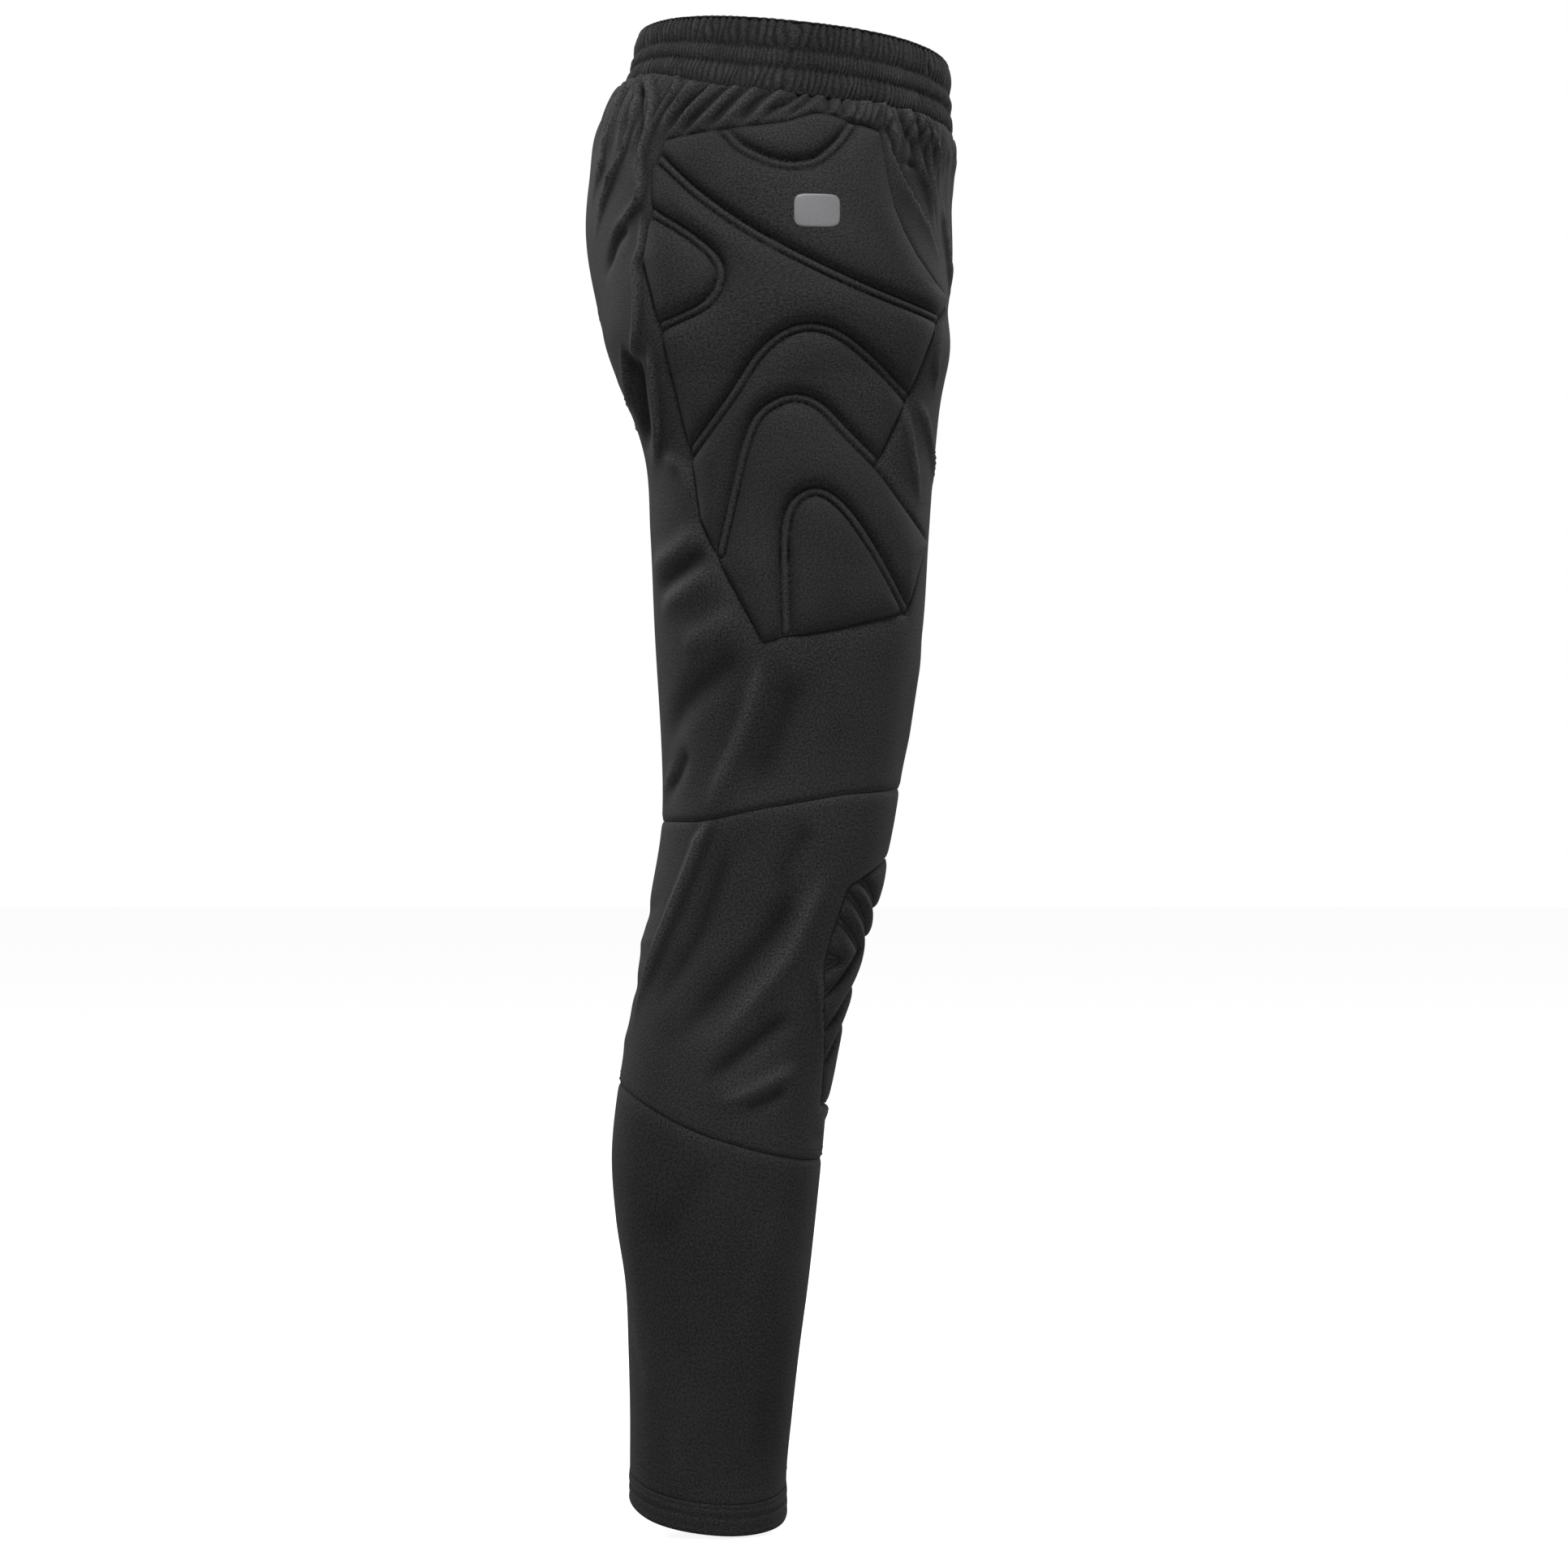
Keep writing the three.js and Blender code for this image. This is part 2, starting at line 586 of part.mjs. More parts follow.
// The knee panel wraps from one edge of the knee pad round the back to the other, and
// bridges the front above the pad.
function kneePanel(pad) {
  const rowsAbove = 2;
  const [inside, outside] = [4, 10];
  const columns = inside + KNEE_COLUMNS + outside;
  const at = (i, j) => {
    const column = clamp(i - inside, 0, KNEE_COLUMNS);
    const [edgeU, padZ] = pad(column, clamp(j - rowsAbove, 0, KNEE_ROWS));
    let u = edgeU;
    if (i < inside) u = lerp(EDGE, edgeU, i / inside);
    if (i > inside + KNEE_COLUMNS) u = lerp(edgeU, 1 - EDGE, (i - inside - KNEE_COLUMNS) / outside);
    const start = KNEE_SEAM_TOP(u) - SEAM / 2;
    const end = KNEE_SEAM_BOTTOM(u) + SEAM / 2;
    if (j <= rowsAbove) return [u, lerp(start, padZ, j / rowsAbove)];
    const share = (j - rowsAbove) / KNEE_ROWS;
    const padStart = pad(column, 0)[1];
    return [u, lerp(padStart, end, share)];
  };
  const window = (i, j) => i >= inside && i < inside + KNEE_COLUMNS && j >= rowsAbove;
  const rows = rowsAbove + KNEE_ROWS;
  addBoth("knee_panel", sheet(columns, rows, at, PANEL, (i, j) => !window(i, j)), knit);
}

// Chevrons quilted over the knee: two above, two below, and a bay on each side.
function kneeFoams() {
  const add = (name, shape, columns, rows) =>
    addBoth(`knee_foam_${name}`, block(shape, columns, rows, KNEE_FILL, onKnee), foam);
  const bent = (half, zEnd, zMiddle) => line([[-half, zEnd], [0, zMiddle], [half, zEnd]], false);
  const across = (halfTop, zTop, halfBottom, zBottom, side) =>
    line([[side * halfTop, zTop], [side * halfBottom, zBottom]], false);
  const band = (name, a, b) =>
    add(name, patch(bent(...a), bent(...b), across(a[0], a[1], b[0], b[1], -1),
      across(a[0], a[1], b[0], b[1], 1)), 6, 2);
  band("top", [36, -584, -576], [44, -589, -612]);
  band("upper_chevron", [46, -590, -613], [55, -597, -633]);
  const waist = (side) => line([[side * 56, -604], [side * 19, -638], [side * 50, -672]], false);
  add("centre", patch(bent(56, -604, -634), bent(50, -672, -656), waist(-1), waist(1)), 6, 4);
  for (const [name, side] of [["outer", 1], ["inner", -1]]) {
    const rim = line([[side * 57, -612], [side * 58, -640], [side * 52, -664]], false);
    const chevron = line([[side * 56, -611], [side * 24, -638], [side * 51, -665]], false);
    const cap = (z, half) => line([[side * (half - 1), z], [side * half, z]], false);
    add(`${name}_bay`, patch(cap(-611, 57), cap(-665, 52), chevron, rim), 3, 4);
  }
  band("lower_chevron", [46, -676, -660], [37, -698, -682]);
  band("bottom", [34, -703, -685], [22, -733, -733]);
}

// ---------------------------------------------------------------- lower leg and hem
const HEM_TOP = -1000;
const HEM_LAYER = { outer: 0.4, inner: -2 }; // two layers of cloth
// The hem's lower edge lies in one plane, lower on the outside of the leg.
const HEM_POINT = new THREE.Vector3(-60, -92, -1017);
const HEM_SLOPE = { forward: -0.097, inward: 0.27 };
const hemZ = (x, y) =>
  HEM_POINT.z + HEM_SLOPE.forward * (x - HEM_POINT.x) + HEM_SLOPE.inward * (y - HEM_POINT.y);

function lowerLeg() {
  const [columns, rows] = [18, 7];
  const at = (i, j) => {
    const u = lerp(EDGE, 1 - EDGE, i / columns);
    return [u, lerp(KNEE_SEAM_BOTTOM(u) - SEAM / 2, HEM_TOP + SEAM, j / rows)];
  };
  addBoth("lower_leg", sheet(columns, rows, at, PANEL), stretchKnit);

  // The lower corners, with no height of their own, lie in the hem's plane.
  const { outer, inner } = HEM_LAYER;
  const outline = [[outer, HEM_TOP], [inner, HEM_TOP], [inner, null], [outer, null]];
  const round = spaced(0, 1, 24).slice(0, -1);
  const place = (u, [off, row]) => {
    const p = layered(u, row ?? HEM_POINT.z, off);
    return row === null ? p.setZ(hemZ(p.x, p.y)) : p;
  };
  addBoth("hem_band", swept(outline, round, place, true), stretchKnit);
}

waistband();
hipPad();
reflectivePatch();
pocketBag();
kneeLayers();
kneeFoams();
lowerLeg();

export default garment;
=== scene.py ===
"""The looks of the padded goalkeeper trousers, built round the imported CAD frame.

Shapes are worked out in millimetres in the frame's own axes (+X front, +Y the wearer's left,
+Z up), with Z counted from a little above the waistband, and turned into metres when a mesh is
made. A place on a leg's cloth is [u, row]: u runs once round the leg, and row is a height.
Everything is drawn for the right side; the left side is its mirror image with folds of its own.
"""
import math

import bpy
import numpy as np
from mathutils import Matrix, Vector


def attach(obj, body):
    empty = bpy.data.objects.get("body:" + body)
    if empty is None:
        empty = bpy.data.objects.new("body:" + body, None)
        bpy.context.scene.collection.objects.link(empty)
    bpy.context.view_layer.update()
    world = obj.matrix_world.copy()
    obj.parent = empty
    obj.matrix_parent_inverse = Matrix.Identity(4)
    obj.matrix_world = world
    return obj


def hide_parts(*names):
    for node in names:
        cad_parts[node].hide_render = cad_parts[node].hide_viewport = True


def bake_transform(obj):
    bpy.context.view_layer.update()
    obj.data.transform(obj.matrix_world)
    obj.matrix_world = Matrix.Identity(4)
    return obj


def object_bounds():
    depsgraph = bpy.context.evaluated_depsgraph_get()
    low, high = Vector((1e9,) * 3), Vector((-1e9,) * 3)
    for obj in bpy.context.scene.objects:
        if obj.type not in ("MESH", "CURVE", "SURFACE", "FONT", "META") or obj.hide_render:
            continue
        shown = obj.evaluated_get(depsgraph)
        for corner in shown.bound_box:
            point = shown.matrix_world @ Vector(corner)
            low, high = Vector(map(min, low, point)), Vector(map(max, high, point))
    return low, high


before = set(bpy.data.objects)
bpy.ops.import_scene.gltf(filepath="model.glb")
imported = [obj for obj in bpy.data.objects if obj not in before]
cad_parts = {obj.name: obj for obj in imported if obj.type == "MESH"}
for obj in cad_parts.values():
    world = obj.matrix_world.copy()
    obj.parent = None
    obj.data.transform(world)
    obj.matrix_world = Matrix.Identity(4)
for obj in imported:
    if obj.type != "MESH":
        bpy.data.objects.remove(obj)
CAD_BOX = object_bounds()

MM = 0.001
SIDES = {"right": 1, "left": -1}  # a side's sign multiplies Y of the right side's points
ROUND = (500, 1)  # turns [u, row] into rough millimetres

# ---------------------------------------------------------------- driving dimensions, mm
FABRIC = 1.2
WAISTBAND = 50
TIERS = (0, -21, -34, -50)  # edges and stitch rows of the waistband, from its top edge
WAIST_TOP = -11  # pattern height of the waistband's top edge, which is the frame's origin
CASING_DEPTH = 6.6
WAIST_TILT = 0.1
FOAM = 7.2  # rise of the quilted foam over its seams
CHANNEL = 2.75  # half the distance between a channel's two stitch rows
CORD = 3.0  # rise of the cord between them
STITCH_PITCH = 3.0
HEM_POINT = (-60, -92, -1017)
HEM_SLOPE = (-0.097, 0.27)
HEM_HEIGHT = 21
HEM_STITCHES = (19, 12.5)  # heights of the hem's two rows of stitches
SEAM_DIP = 1.5  # how deep cloth dips into a pad's seam
PAD_TUCK = 1.6  # how far a pad's rim turns under the cloth beside it
HIP_LINING, KNEE_LINING = 4.0, 4.2  # depth of the pads' linings under the plain face
WAIST_GIRTH = 890

# The seat and hips: height, back, front, half width.
TORSO = [
    (10, -108, 107, 149), (0, -109, 107, 150), (-50, -121, 109, 158), (-90, -140, 109, 170),
    (-131, -148, 110, 179), (-176, -150, 116, 184), (-220, -152, 126, 186),
    (-264, -150, 138, 184), (-300, -150, 140, 180),
]
# One leg: height, back, front, middle across, half width across.
LEG = [
    (10, -120, 100, -90, 80), (-110, -135, 104, -90, 84), (-180, -150, 114, -90, 88),
    (-215, -142, 114, -90, 88.5), (-250, -122, 101, -90, 89), (-300, -104, 94.5, -91, 87),
    (-353, -100, 90.5, -92, 84), (-420, -97, 86, -93, 81), (-509, -92, 73, -93, 75.5),
    (-554, -92.5, 66, -93, 72.5), (-598, -99.5, 56, -93, 69), (-642, -107, 43.5, -93, 67),
    (-687, -114.5, 31, -93, 65), (-731, -122, 22, -93, 62.5), (-776, -126.4, 17.5, -93, 60.5),
    (-820, -123.6, 13, -93, 58), (-865, -117, 8, -93, 55), (-910, -115, 2, -92.5, 52),
    (-954, -114, -3, -92, 49), (-998, -114, -7, -92, 47), (-1040, -113, -6, -92, 47),
]
RISE_START, CROTCH = -110, -250
CROTCH_DROP, CROTCH_SPREAD, MEDIAL = 35, 80, 0.22


# ---------------------------------------------------------------- the garment's plain face
def station(table, column, z):
    """Smooth value of a column of a station table at heights z."""
    rows = np.array(table, float)[::-1]
    x, y = rows[:, 0], rows[:, column]
    slope = np.empty_like(y)
    slope[1:-1] = (y[2:] - y[:-2]) / (x[2:] - x[:-2])
    slope[0] = (y[1] - y[0]) / (x[1] - x[0])
    slope[-1] = (y[-1] - y[-2]) / (x[-1] - x[-2])
    z = np.clip(z, x[0], x[-1])
    k = np.clip(np.searchsorted(x, z) - 1, 0, len(x) - 2)
    h = x[k + 1] - x[k]
    s = (z - x[k]) / h
    return (
        (2 * s**3 - 3 * s**2 + 1) * y[k] + (s**3 - 2 * s**2 + s) * h * slope[k]
        + (3 * s**2 - 2 * s**3) * y[k + 1] + (s**3 - s**2) * h * slope[k + 1]
    )


def rounded(value, power):
    return np.sign(value) * np.abs(value) ** (2 / power)


def smoothstep(x, low, high):
    t = np.clip((x - low) / (high - low), 0, 1)
    return t * t * (3 - 2 * t)


def bell(distance, width, power=2):
    """1 at no distance, falling to 0 in about the width."""
    return np.exp(-((distance / width) ** power))


def on_leg(u, row):
    return np.broadcast_arrays(np.asarray(u, float), np.asarray(row, float))


def face(u, row):
    """The right side's outer face. u runs once round from the centre-front seam or inseam:
    0.25 is the leg's front, 0.5 the outer side, 0.75 the back. row is the level's height at
    the outer side."""
    u, row = on_leg(u, row)
    split = np.clip((RISE_START - row) / (RISE_START - CROTCH), 0, 1) ** 3
    turn = np.pi * u
    back, front, width = (station(TORSO, c, row) for c in (1, 2, 3))
    tx = (back + front) / 2 + (front - back) / 2 * rounded(np.cos(turn), 2.4)
    ty = -width * rounded(np.sin(turn), 2.4)
    turn = 2 * np.pi * (u - 0.25)
    back, front, middle, width = (station(LEG, c, row) for c in (1, 2, 3, 4))
    lx = (back + front) / 2 + (front - back) / 2 * rounded(np.cos(turn), 2.15)
    ly = middle - width * rounded(np.sin(turn), 2.15)
    x = (1 - split) * tx + split * lx
    y = (1 - split) * ty + split * ly
    from_edge = np.minimum(np.minimum(u, 1 - u), MEDIAL)
    drop = CROTCH_DROP * bell(row - CROTCH, CROTCH_SPREAD)
    sag = drop * np.cos(np.pi * from_edge / (2 * MEDIAL)) ** 2
    z = row - sag - x * WAIST_TILT * smoothstep(row, -220, -60)
    return np.stack([x, y, z], axis=-1)


def unit(v):
    return v / np.maximum(np.linalg.norm(v, axis=-1, keepdims=True), 1e-9)


def outward(u, row):
    """The outward direction of that face."""
    u, row = on_leg(u, row)
    du, dz = 0.002, 1.5
    along = face(np.minimum(u + du, 1), row) - face(np.maximum(u - du, 0), row)
    down = face(u, row - dz) - face(u, row + dz)
    n = unit(np.cross(along, down))
    seam = (row > RISE_START) & ((u < 1e-6) | (u > 1 - 1e-6))
    n[..., 1] = np.where(seam, 0, n[..., 1])
    return unit(n)


RING_ROWS = np.arange(-1040, 11, 5.0)
RING_STEPS = np.linspace(0, 1, 401)
RING_X = face(RING_STEPS[None], RING_ROWS[:, None])[..., 0]
FOREMOST = RING_STEPS[:200][np.argmax(RING_X[:, :200], axis=1)]
REARMOST = RING_STEPS[200:][np.argmin(RING_X[:, 200:], axis=1)]


def on_side(points):
    """[u, row] of points drawn in the side view, [x, z], on the outer side."""
    x, z = np.array(points, float).T
    row = z.copy()
    for _ in range(6):
        low = np.interp(row, RING_ROWS, FOREMOST)
        high = np.interp(row, RING_ROWS, REARMOST)
        for _ in range(24):
            u = (low + high) / 2
            ahead = face(u, row)[:, 0] > x
            low, high = np.where(ahead, u, low), np.where(ahead, high, u)
        row = row + z - face(u, row)[:, 2]
    return np.stack([u, row], axis=-1)


# ---------------------------------------------------------------- lines
def running_length(points):
    """How far along a polyline each of its points is."""
    return np.concatenate([[0], np.cumsum(np.linalg.norm(np.diff(points, axis=0), axis=1))])


def picked(at, along, values):
    """The values at lengths along a line, column by column."""
    return np.stack([np.interp(at, along, column) for column in values.T], axis=-1)


def resampled(points, step):
    """Points a step apart along a polyline of any dimension."""
    points = np.array(points, float)
    along = running_length(points)
    count = max(2, int(math.ceil(along[-1] / step)) + 1)
    return picked(np.linspace(0, along[-1], count), along, points)


def resampled_cloth(path, step):
    return resampled(path * ROUND, step) / ROUND


def smooth(points, steps=12):
    """A Catmull-Rom curve through the points."""
    p = np.array(points, float)
    if len(p) < 3:
        return p
    p = np.vstack([2 * p[0] - p[1], p, 2 * p[-1] - p[-2]])
    t = np.linspace(0, 1, steps, endpoint=False)[:, None]
    out = []
    for a, b, c, d in zip(p, p[1:], p[2:], p[3:]):
        out.append(0.5 * (2 * b + (c - a) * t + (2 * a - 5 * b + 4 * c - d) * t**2
                          + (3 * b - a - 3 * c + d) * t**3))
    return np.vstack(out + [p[-2:-1]])


def side_line(points, step=1.0, curved=True):
    """[u, row] along a line drawn in the side view."""
    return on_side(resampled(smooth(points) if curved else points, step))


class Line:
    """A line on the cloth, with its places, tangents, normals and running length."""

    def __init__(self, cloth):
        u, row = np.array(cloth, float).T
        self.at = face(u, row)
        self.normal = outward(u, row)
        self.tangent = unit(np.gradient(self.at, axis=0))
        self.along = running_length(self.at)
        self.length = self.along[-1]
        self.step = np.diff(self.along).max()
        self.across = np.cross(self.tangent, self.normal)

    def nearest(self, places, reach):
        """For places (n, 3): distance, side (+1 or -1) and running length, nan past reach."""
        distance = np.full(len(places), np.nan)
        side, along = np.zeros(len(places)), np.zeros(len(places))
        low, high = self.at.min(axis=0) - reach, self.at.max(axis=0) + reach
        near = np.flatnonzero(((places > low) & (places < high)).all(axis=1))
        if not len(near):
            return distance, side, along
        squares = (self.at**2).sum(axis=1)
        for part in np.array_split(near, 1 + len(near) * len(self.at) // 8_000_000):
            k = (squares - 2 * places[part] @ self.at.T).argmin(axis=1)
            gap = places[part] - self.at[k]
            slide = np.clip((gap * self.tangent[k]).sum(axis=1), -self.step / 2, self.step / 2)
            gap = gap - slide[:, None] * self.tangent[k]
            distance[part] = np.linalg.norm(gap, axis=1)
            side[part] = np.sign((self.across[k] * gap).sum(axis=1))
            along[part] = self.along[k] + slide
        distance[distance > reach] = np.nan
        return distance, side, along

    def stitches(self, shift, pitch, height, start=2.0, end=2.0):
        """Centres, directions and normals of stitches, shifted sideways on the cloth.
        height gives the cloth's rise at places (n, 3)."""
        path = self.at + self.across * shift
        along = running_length(path)
        at = np.arange(start, along[-1] - end, pitch)
        centres, normals = picked(at, along, path), unit(picked(at, along, self.normal))
        directions = unit(picked(at, along, self.tangent))
        return centres + normals * height(centres)[:, None], directions, normals


# ---------------------------------------------------------------- folds
class Fold:
    """A ridge, or with a negative height a valley, that fades at its ends. A power of 1 gives
    a crisp crest and 2 a soft one. tilt above 0 widens one flank and narrows the other, and
    a tilt of exactly 1 makes an overlapping edge, with a step down on one side."""

    def __init__(self, cloth, width, height, power=2.0, tilt=0.0, ends=(0.25, 0.35)):
        self.line = Line(cloth)
        self.width, self.height, self.power, self.tilt, self.ends = width, height, power, tilt, ends

    def rise(self, places):
        """Height at places, and shade: light crests, dark valleys."""
        gap, side, along = self.line.nearest(places, 3.2 * self.width)
        share = along / max(self.line.length, 1e-6)
        start, end = self.ends
        fade = 1 - smoothstep(share, 1 - end, 1)
        if start:
            fade *= smoothstep(share, 0, start)
        width, height = self.width, self.height
        if self.tilt == 1:
            bump = np.where(side > 0, bell(gap, width, self.power), -0.6 * bell(gap, 2.2))
            shade = np.where(side > 0, 0.9, -1.8) * bell(gap, 1.9)
        else:
            bump = bell(gap, width * (1 + self.tilt * side), self.power)
            if self.power < 1.25:  # a crisp crest, with darker flanks
                flank = bell(gap - 1.7 * width, 0.9 * width)
                shade = min(1.9, height / 2.3) * (bell(gap, 0.55 * width, 1.5) - 0.32 * flank)
            else:
                shade = np.clip(height / 4, -0.6, 1) * bell(gap, 0.6 * width, min(self.power, 1.6))
        return np.nan_to_num(np.stack([height * fade * bump, fade * shade]))


def rise_of(folds, places):
    """Height of all folds at a grid of places, and their shade."""
    total = sum(fold.rise(places.reshape(-1, 3)) for fold in folds)
    return total.reshape(2, *places.shape[:-1])


def folded(rise, shade, reach=3):
    """Shade of a piece of folded cloth, from its folds and from how it stands out over its
    neighbourhood."""
    smoothed = rise
    for axis in (0, 0, 1, 1):
        first, last = (np.repeat(smoothed.take([k], axis), reach, axis) for k in (0, -1))
        edged = np.concatenate([first, smoothed, last], axis)
        total = np.cumsum(np.concatenate([np.zeros_like(edged.take([0], axis)), edged], axis), axis)
        count, span = rise.shape[axis], 2 * reach + 1
        smoothed = (total.take(range(span, span + count), axis)
                    - total.take(range(count), axis)) / span
    return np.clip(0.5 * np.clip((rise - smoothed) / 1.1, -1, 1) + shade, -1, 1.5)


# ---------------------------------------------------------------- meshes
def mesh_object(name, points, faces, sign=1, cloth=None, relief=None):
    """An object from points in millimetres and faces of equal length. cloth is the flat
    pattern's [round, down, depth] at each point, and relief its shade."""
    points, faces = points * (1, sign, 1), faces[:, ::sign]
    mesh = bpy.data.meshes.new(name)
    mesh.vertices.add(len(points))
    lifted = (points - (0, 0, WAIST_TOP)) * MM
    mesh.vertices.foreach_set("co", lifted.astype(np.float32).ravel())
    mesh.loops.add(faces.size)
    mesh.loops.foreach_set("vertex_index", faces.astype(np.int32).ravel())
    mesh.polygons.add(len(faces))
    starts = np.arange(0, faces.size, faces.shape[1], dtype=np.int32)
    mesh.polygons.foreach_set("loop_start", starts)
    mesh.polygons.foreach_set("use_smooth", np.ones(len(faces), bool))
    mesh.update(calc_edges=True)
    mesh.validate()
    if cloth is not None:
        attribute = mesh.attributes.new("cloth", "FLOAT_VECTOR", "POINT")
        attribute.data.foreach_set("vector", (cloth * MM).astype(np.float32).ravel())
        relief = np.zeros(len(points)) if relief is None else relief
        # relief holds painted shade and painted highlight, which the knit multiplies its colour by
        attribute = mesh.attributes.new("relief", "FLOAT", "POINT")
        attribute.data.foreach_set("value", relief.astype(np.float32))
    piece = bpy.data.objects.new(name, mesh)
    bpy.context.scene.collection.objects.link(piece)
    return piece


def quads(rows, columns, close_down=False, close_round=False):
    """Point numbers of a grid that may close on itself, and the faces between them."""
    ids = np.arange(rows * columns).reshape(rows, columns)
    if close_down:
        ids = np.vstack([ids, ids[:1]])
    if close_round:
        ids = np.hstack([ids, ids[:, :1]])
    corners = ids[:-1, :-1], ids[:-1, 1:], ids[1:, 1:], ids[1:, :-1]
    return ids, np.stack(corners, axis=-1).reshape(-1, 4)


def shell(name, outer, inner, sign, ring=False, cloth=None, relief=None):
    """A closed sheet from two grids of points, (rows down, columns round, 3). ring joins the
    last column to the first. cloth is the flat pattern's [round, down] at each point."""
    rows, columns = outer.shape[:2]
    count = rows * columns
    ids, middle = quads(rows, columns, close_round=ring)
    faces = [middle, middle[:, ::-1] + count]
    for edge in [ids[0], ids[-1, ::-1]] + ([] if ring else [ids[::-1, 0], ids[:, -1]]):
        faces.append(np.stack([edge[1:], edge[:-1], edge[:-1] + count, edge[1:] + count], axis=-1))
    points = np.vstack([outer.reshape(-1, 3), inner.reshape(-1, 3)])
    flat = None
    if cloth is not None:
        flat = np.zeros((2 * count, 3))
        flat[:count, :2] = flat[count:, :2] = cloth.reshape(-1, 2)
        flat[count:, 2] = -FABRIC
    if relief is not None:
        relief = np.concatenate([relief.ravel(), np.zeros(count)])
    return mesh_object(name, points, np.vstack(faces), sign, flat, relief)


def closed_tube(name, places, flat, sign=1, relief=None):
    """A grid of points that closes on itself both ways: a folded-over ring of cloth."""
    _, faces = quads(*places.shape[:2], close_down=True, close_round=True)
    return mesh_object(name, places.reshape(-1, 3), faces, sign, flat.reshape(-1, 3), relief)


def stitching(name, rows, sign, slot, body, length=2.3, radius=0.42):
    """Short rounded threads, one for each stitch, in one mesh."""
    centres, directions, normals = (np.vstack(part) for part in zip(*rows))
    across = unit(np.cross(directions, normals))
    up = unit(np.cross(across, directions))
    turn = np.arange(6) * np.pi / 3
    ring = across[:, None] * np.cos(turn)[None, :, None] + up[:, None] * np.sin(turn)[None, :, None]
    centres, reach = centres[:, None], directions[:, None] * length / 2
    points = [centres - reach]
    for share, size in ((-0.72, 0.8), (0.0, 1.0), (0.72, 0.8)):
        points.append(centres + reach * share + ring * radius * size)
    points = np.concatenate(points + [centres + reach], axis=1)
    one = []
    for k in range(6):
        n = (k + 1) % 6
        one.append((0, 1 + n, 1 + k))
        for band in (1, 7):
            one += [(band + k, band + n, band + 6 + n), (band + k, band + 6 + n, band + 6 + k)]
        one.append((19, 13 + k, 13 + n))
    faces = (np.array(one)[None] + 20 * np.arange(len(centres))[:, None, None]).reshape(-1, 3)
    piece = mesh_object(name, points.reshape(-1, 3), faces, sign)
    finish_piece(piece, THREAD, slot)
    follow(piece, body)


# ---------------------------------------------------------------- materials
class Graph:
    """The nodes of a material or world, with short calls to add and join them."""

    def __init__(self, tree):
        self.nodes, self.join = tree.nodes, tree.links.new

    def add(self, kind, **values):
        node = self.nodes.new("ShaderNode" + kind)
        for key, value in values.items():
            if key in node.inputs:
                node.inputs[key].default_value = value
            else:
                setattr(node, key, value)
        return node

    def math(self, operation, a, b=0):
        node = self.add("Math", operation=operation)
        for socket, value in zip(node.inputs, (a, b)):
            if isinstance(value, (int, float)):
                socket.default_value = value
            else:
                self.join(value, socket)
        return node.outputs[0]

    def noise(self, source, **values):
        node = self.add("TexNoise", **values)
        self.join(source, node.inputs["Vector"])
        return node.outputs["Fac"]

    def ramp(self, source, base, *stops):
        """The base colour times a factor at each of two positions of the source."""
        node = self.add("ValToRGB")
        self.join(source, node.inputs["Fac"])
        for element, (position, factor) in zip(node.color_ramp.elements, stops):
            element.position = position
            element.color = (*(min(1, c * factor) for c in base), 1)
        return node.outputs["Color"]

    def bump(self, source, shader, strength, distance):
        node = self.add("Bump", Strength=strength, Distance=distance)
        self.join(source, node.inputs["Height"])
        self.join(node.outputs["Normal"], shader.inputs["Normal"])


def node_material(name, base, rough, specular=0.35, metal=0.0):
    material = bpy.data.materials.new(name)
    material.use_nodes = True
    shader = material.node_tree.nodes["Principled BSDF"]
    for socket, value in (("Base Color", (*base, 1)), ("Roughness", rough),
                          ("Specular IOR Level", specular), ("Metallic", metal)):
        shader.inputs[socket].default_value = value
    return material, Graph(material.node_tree), shader


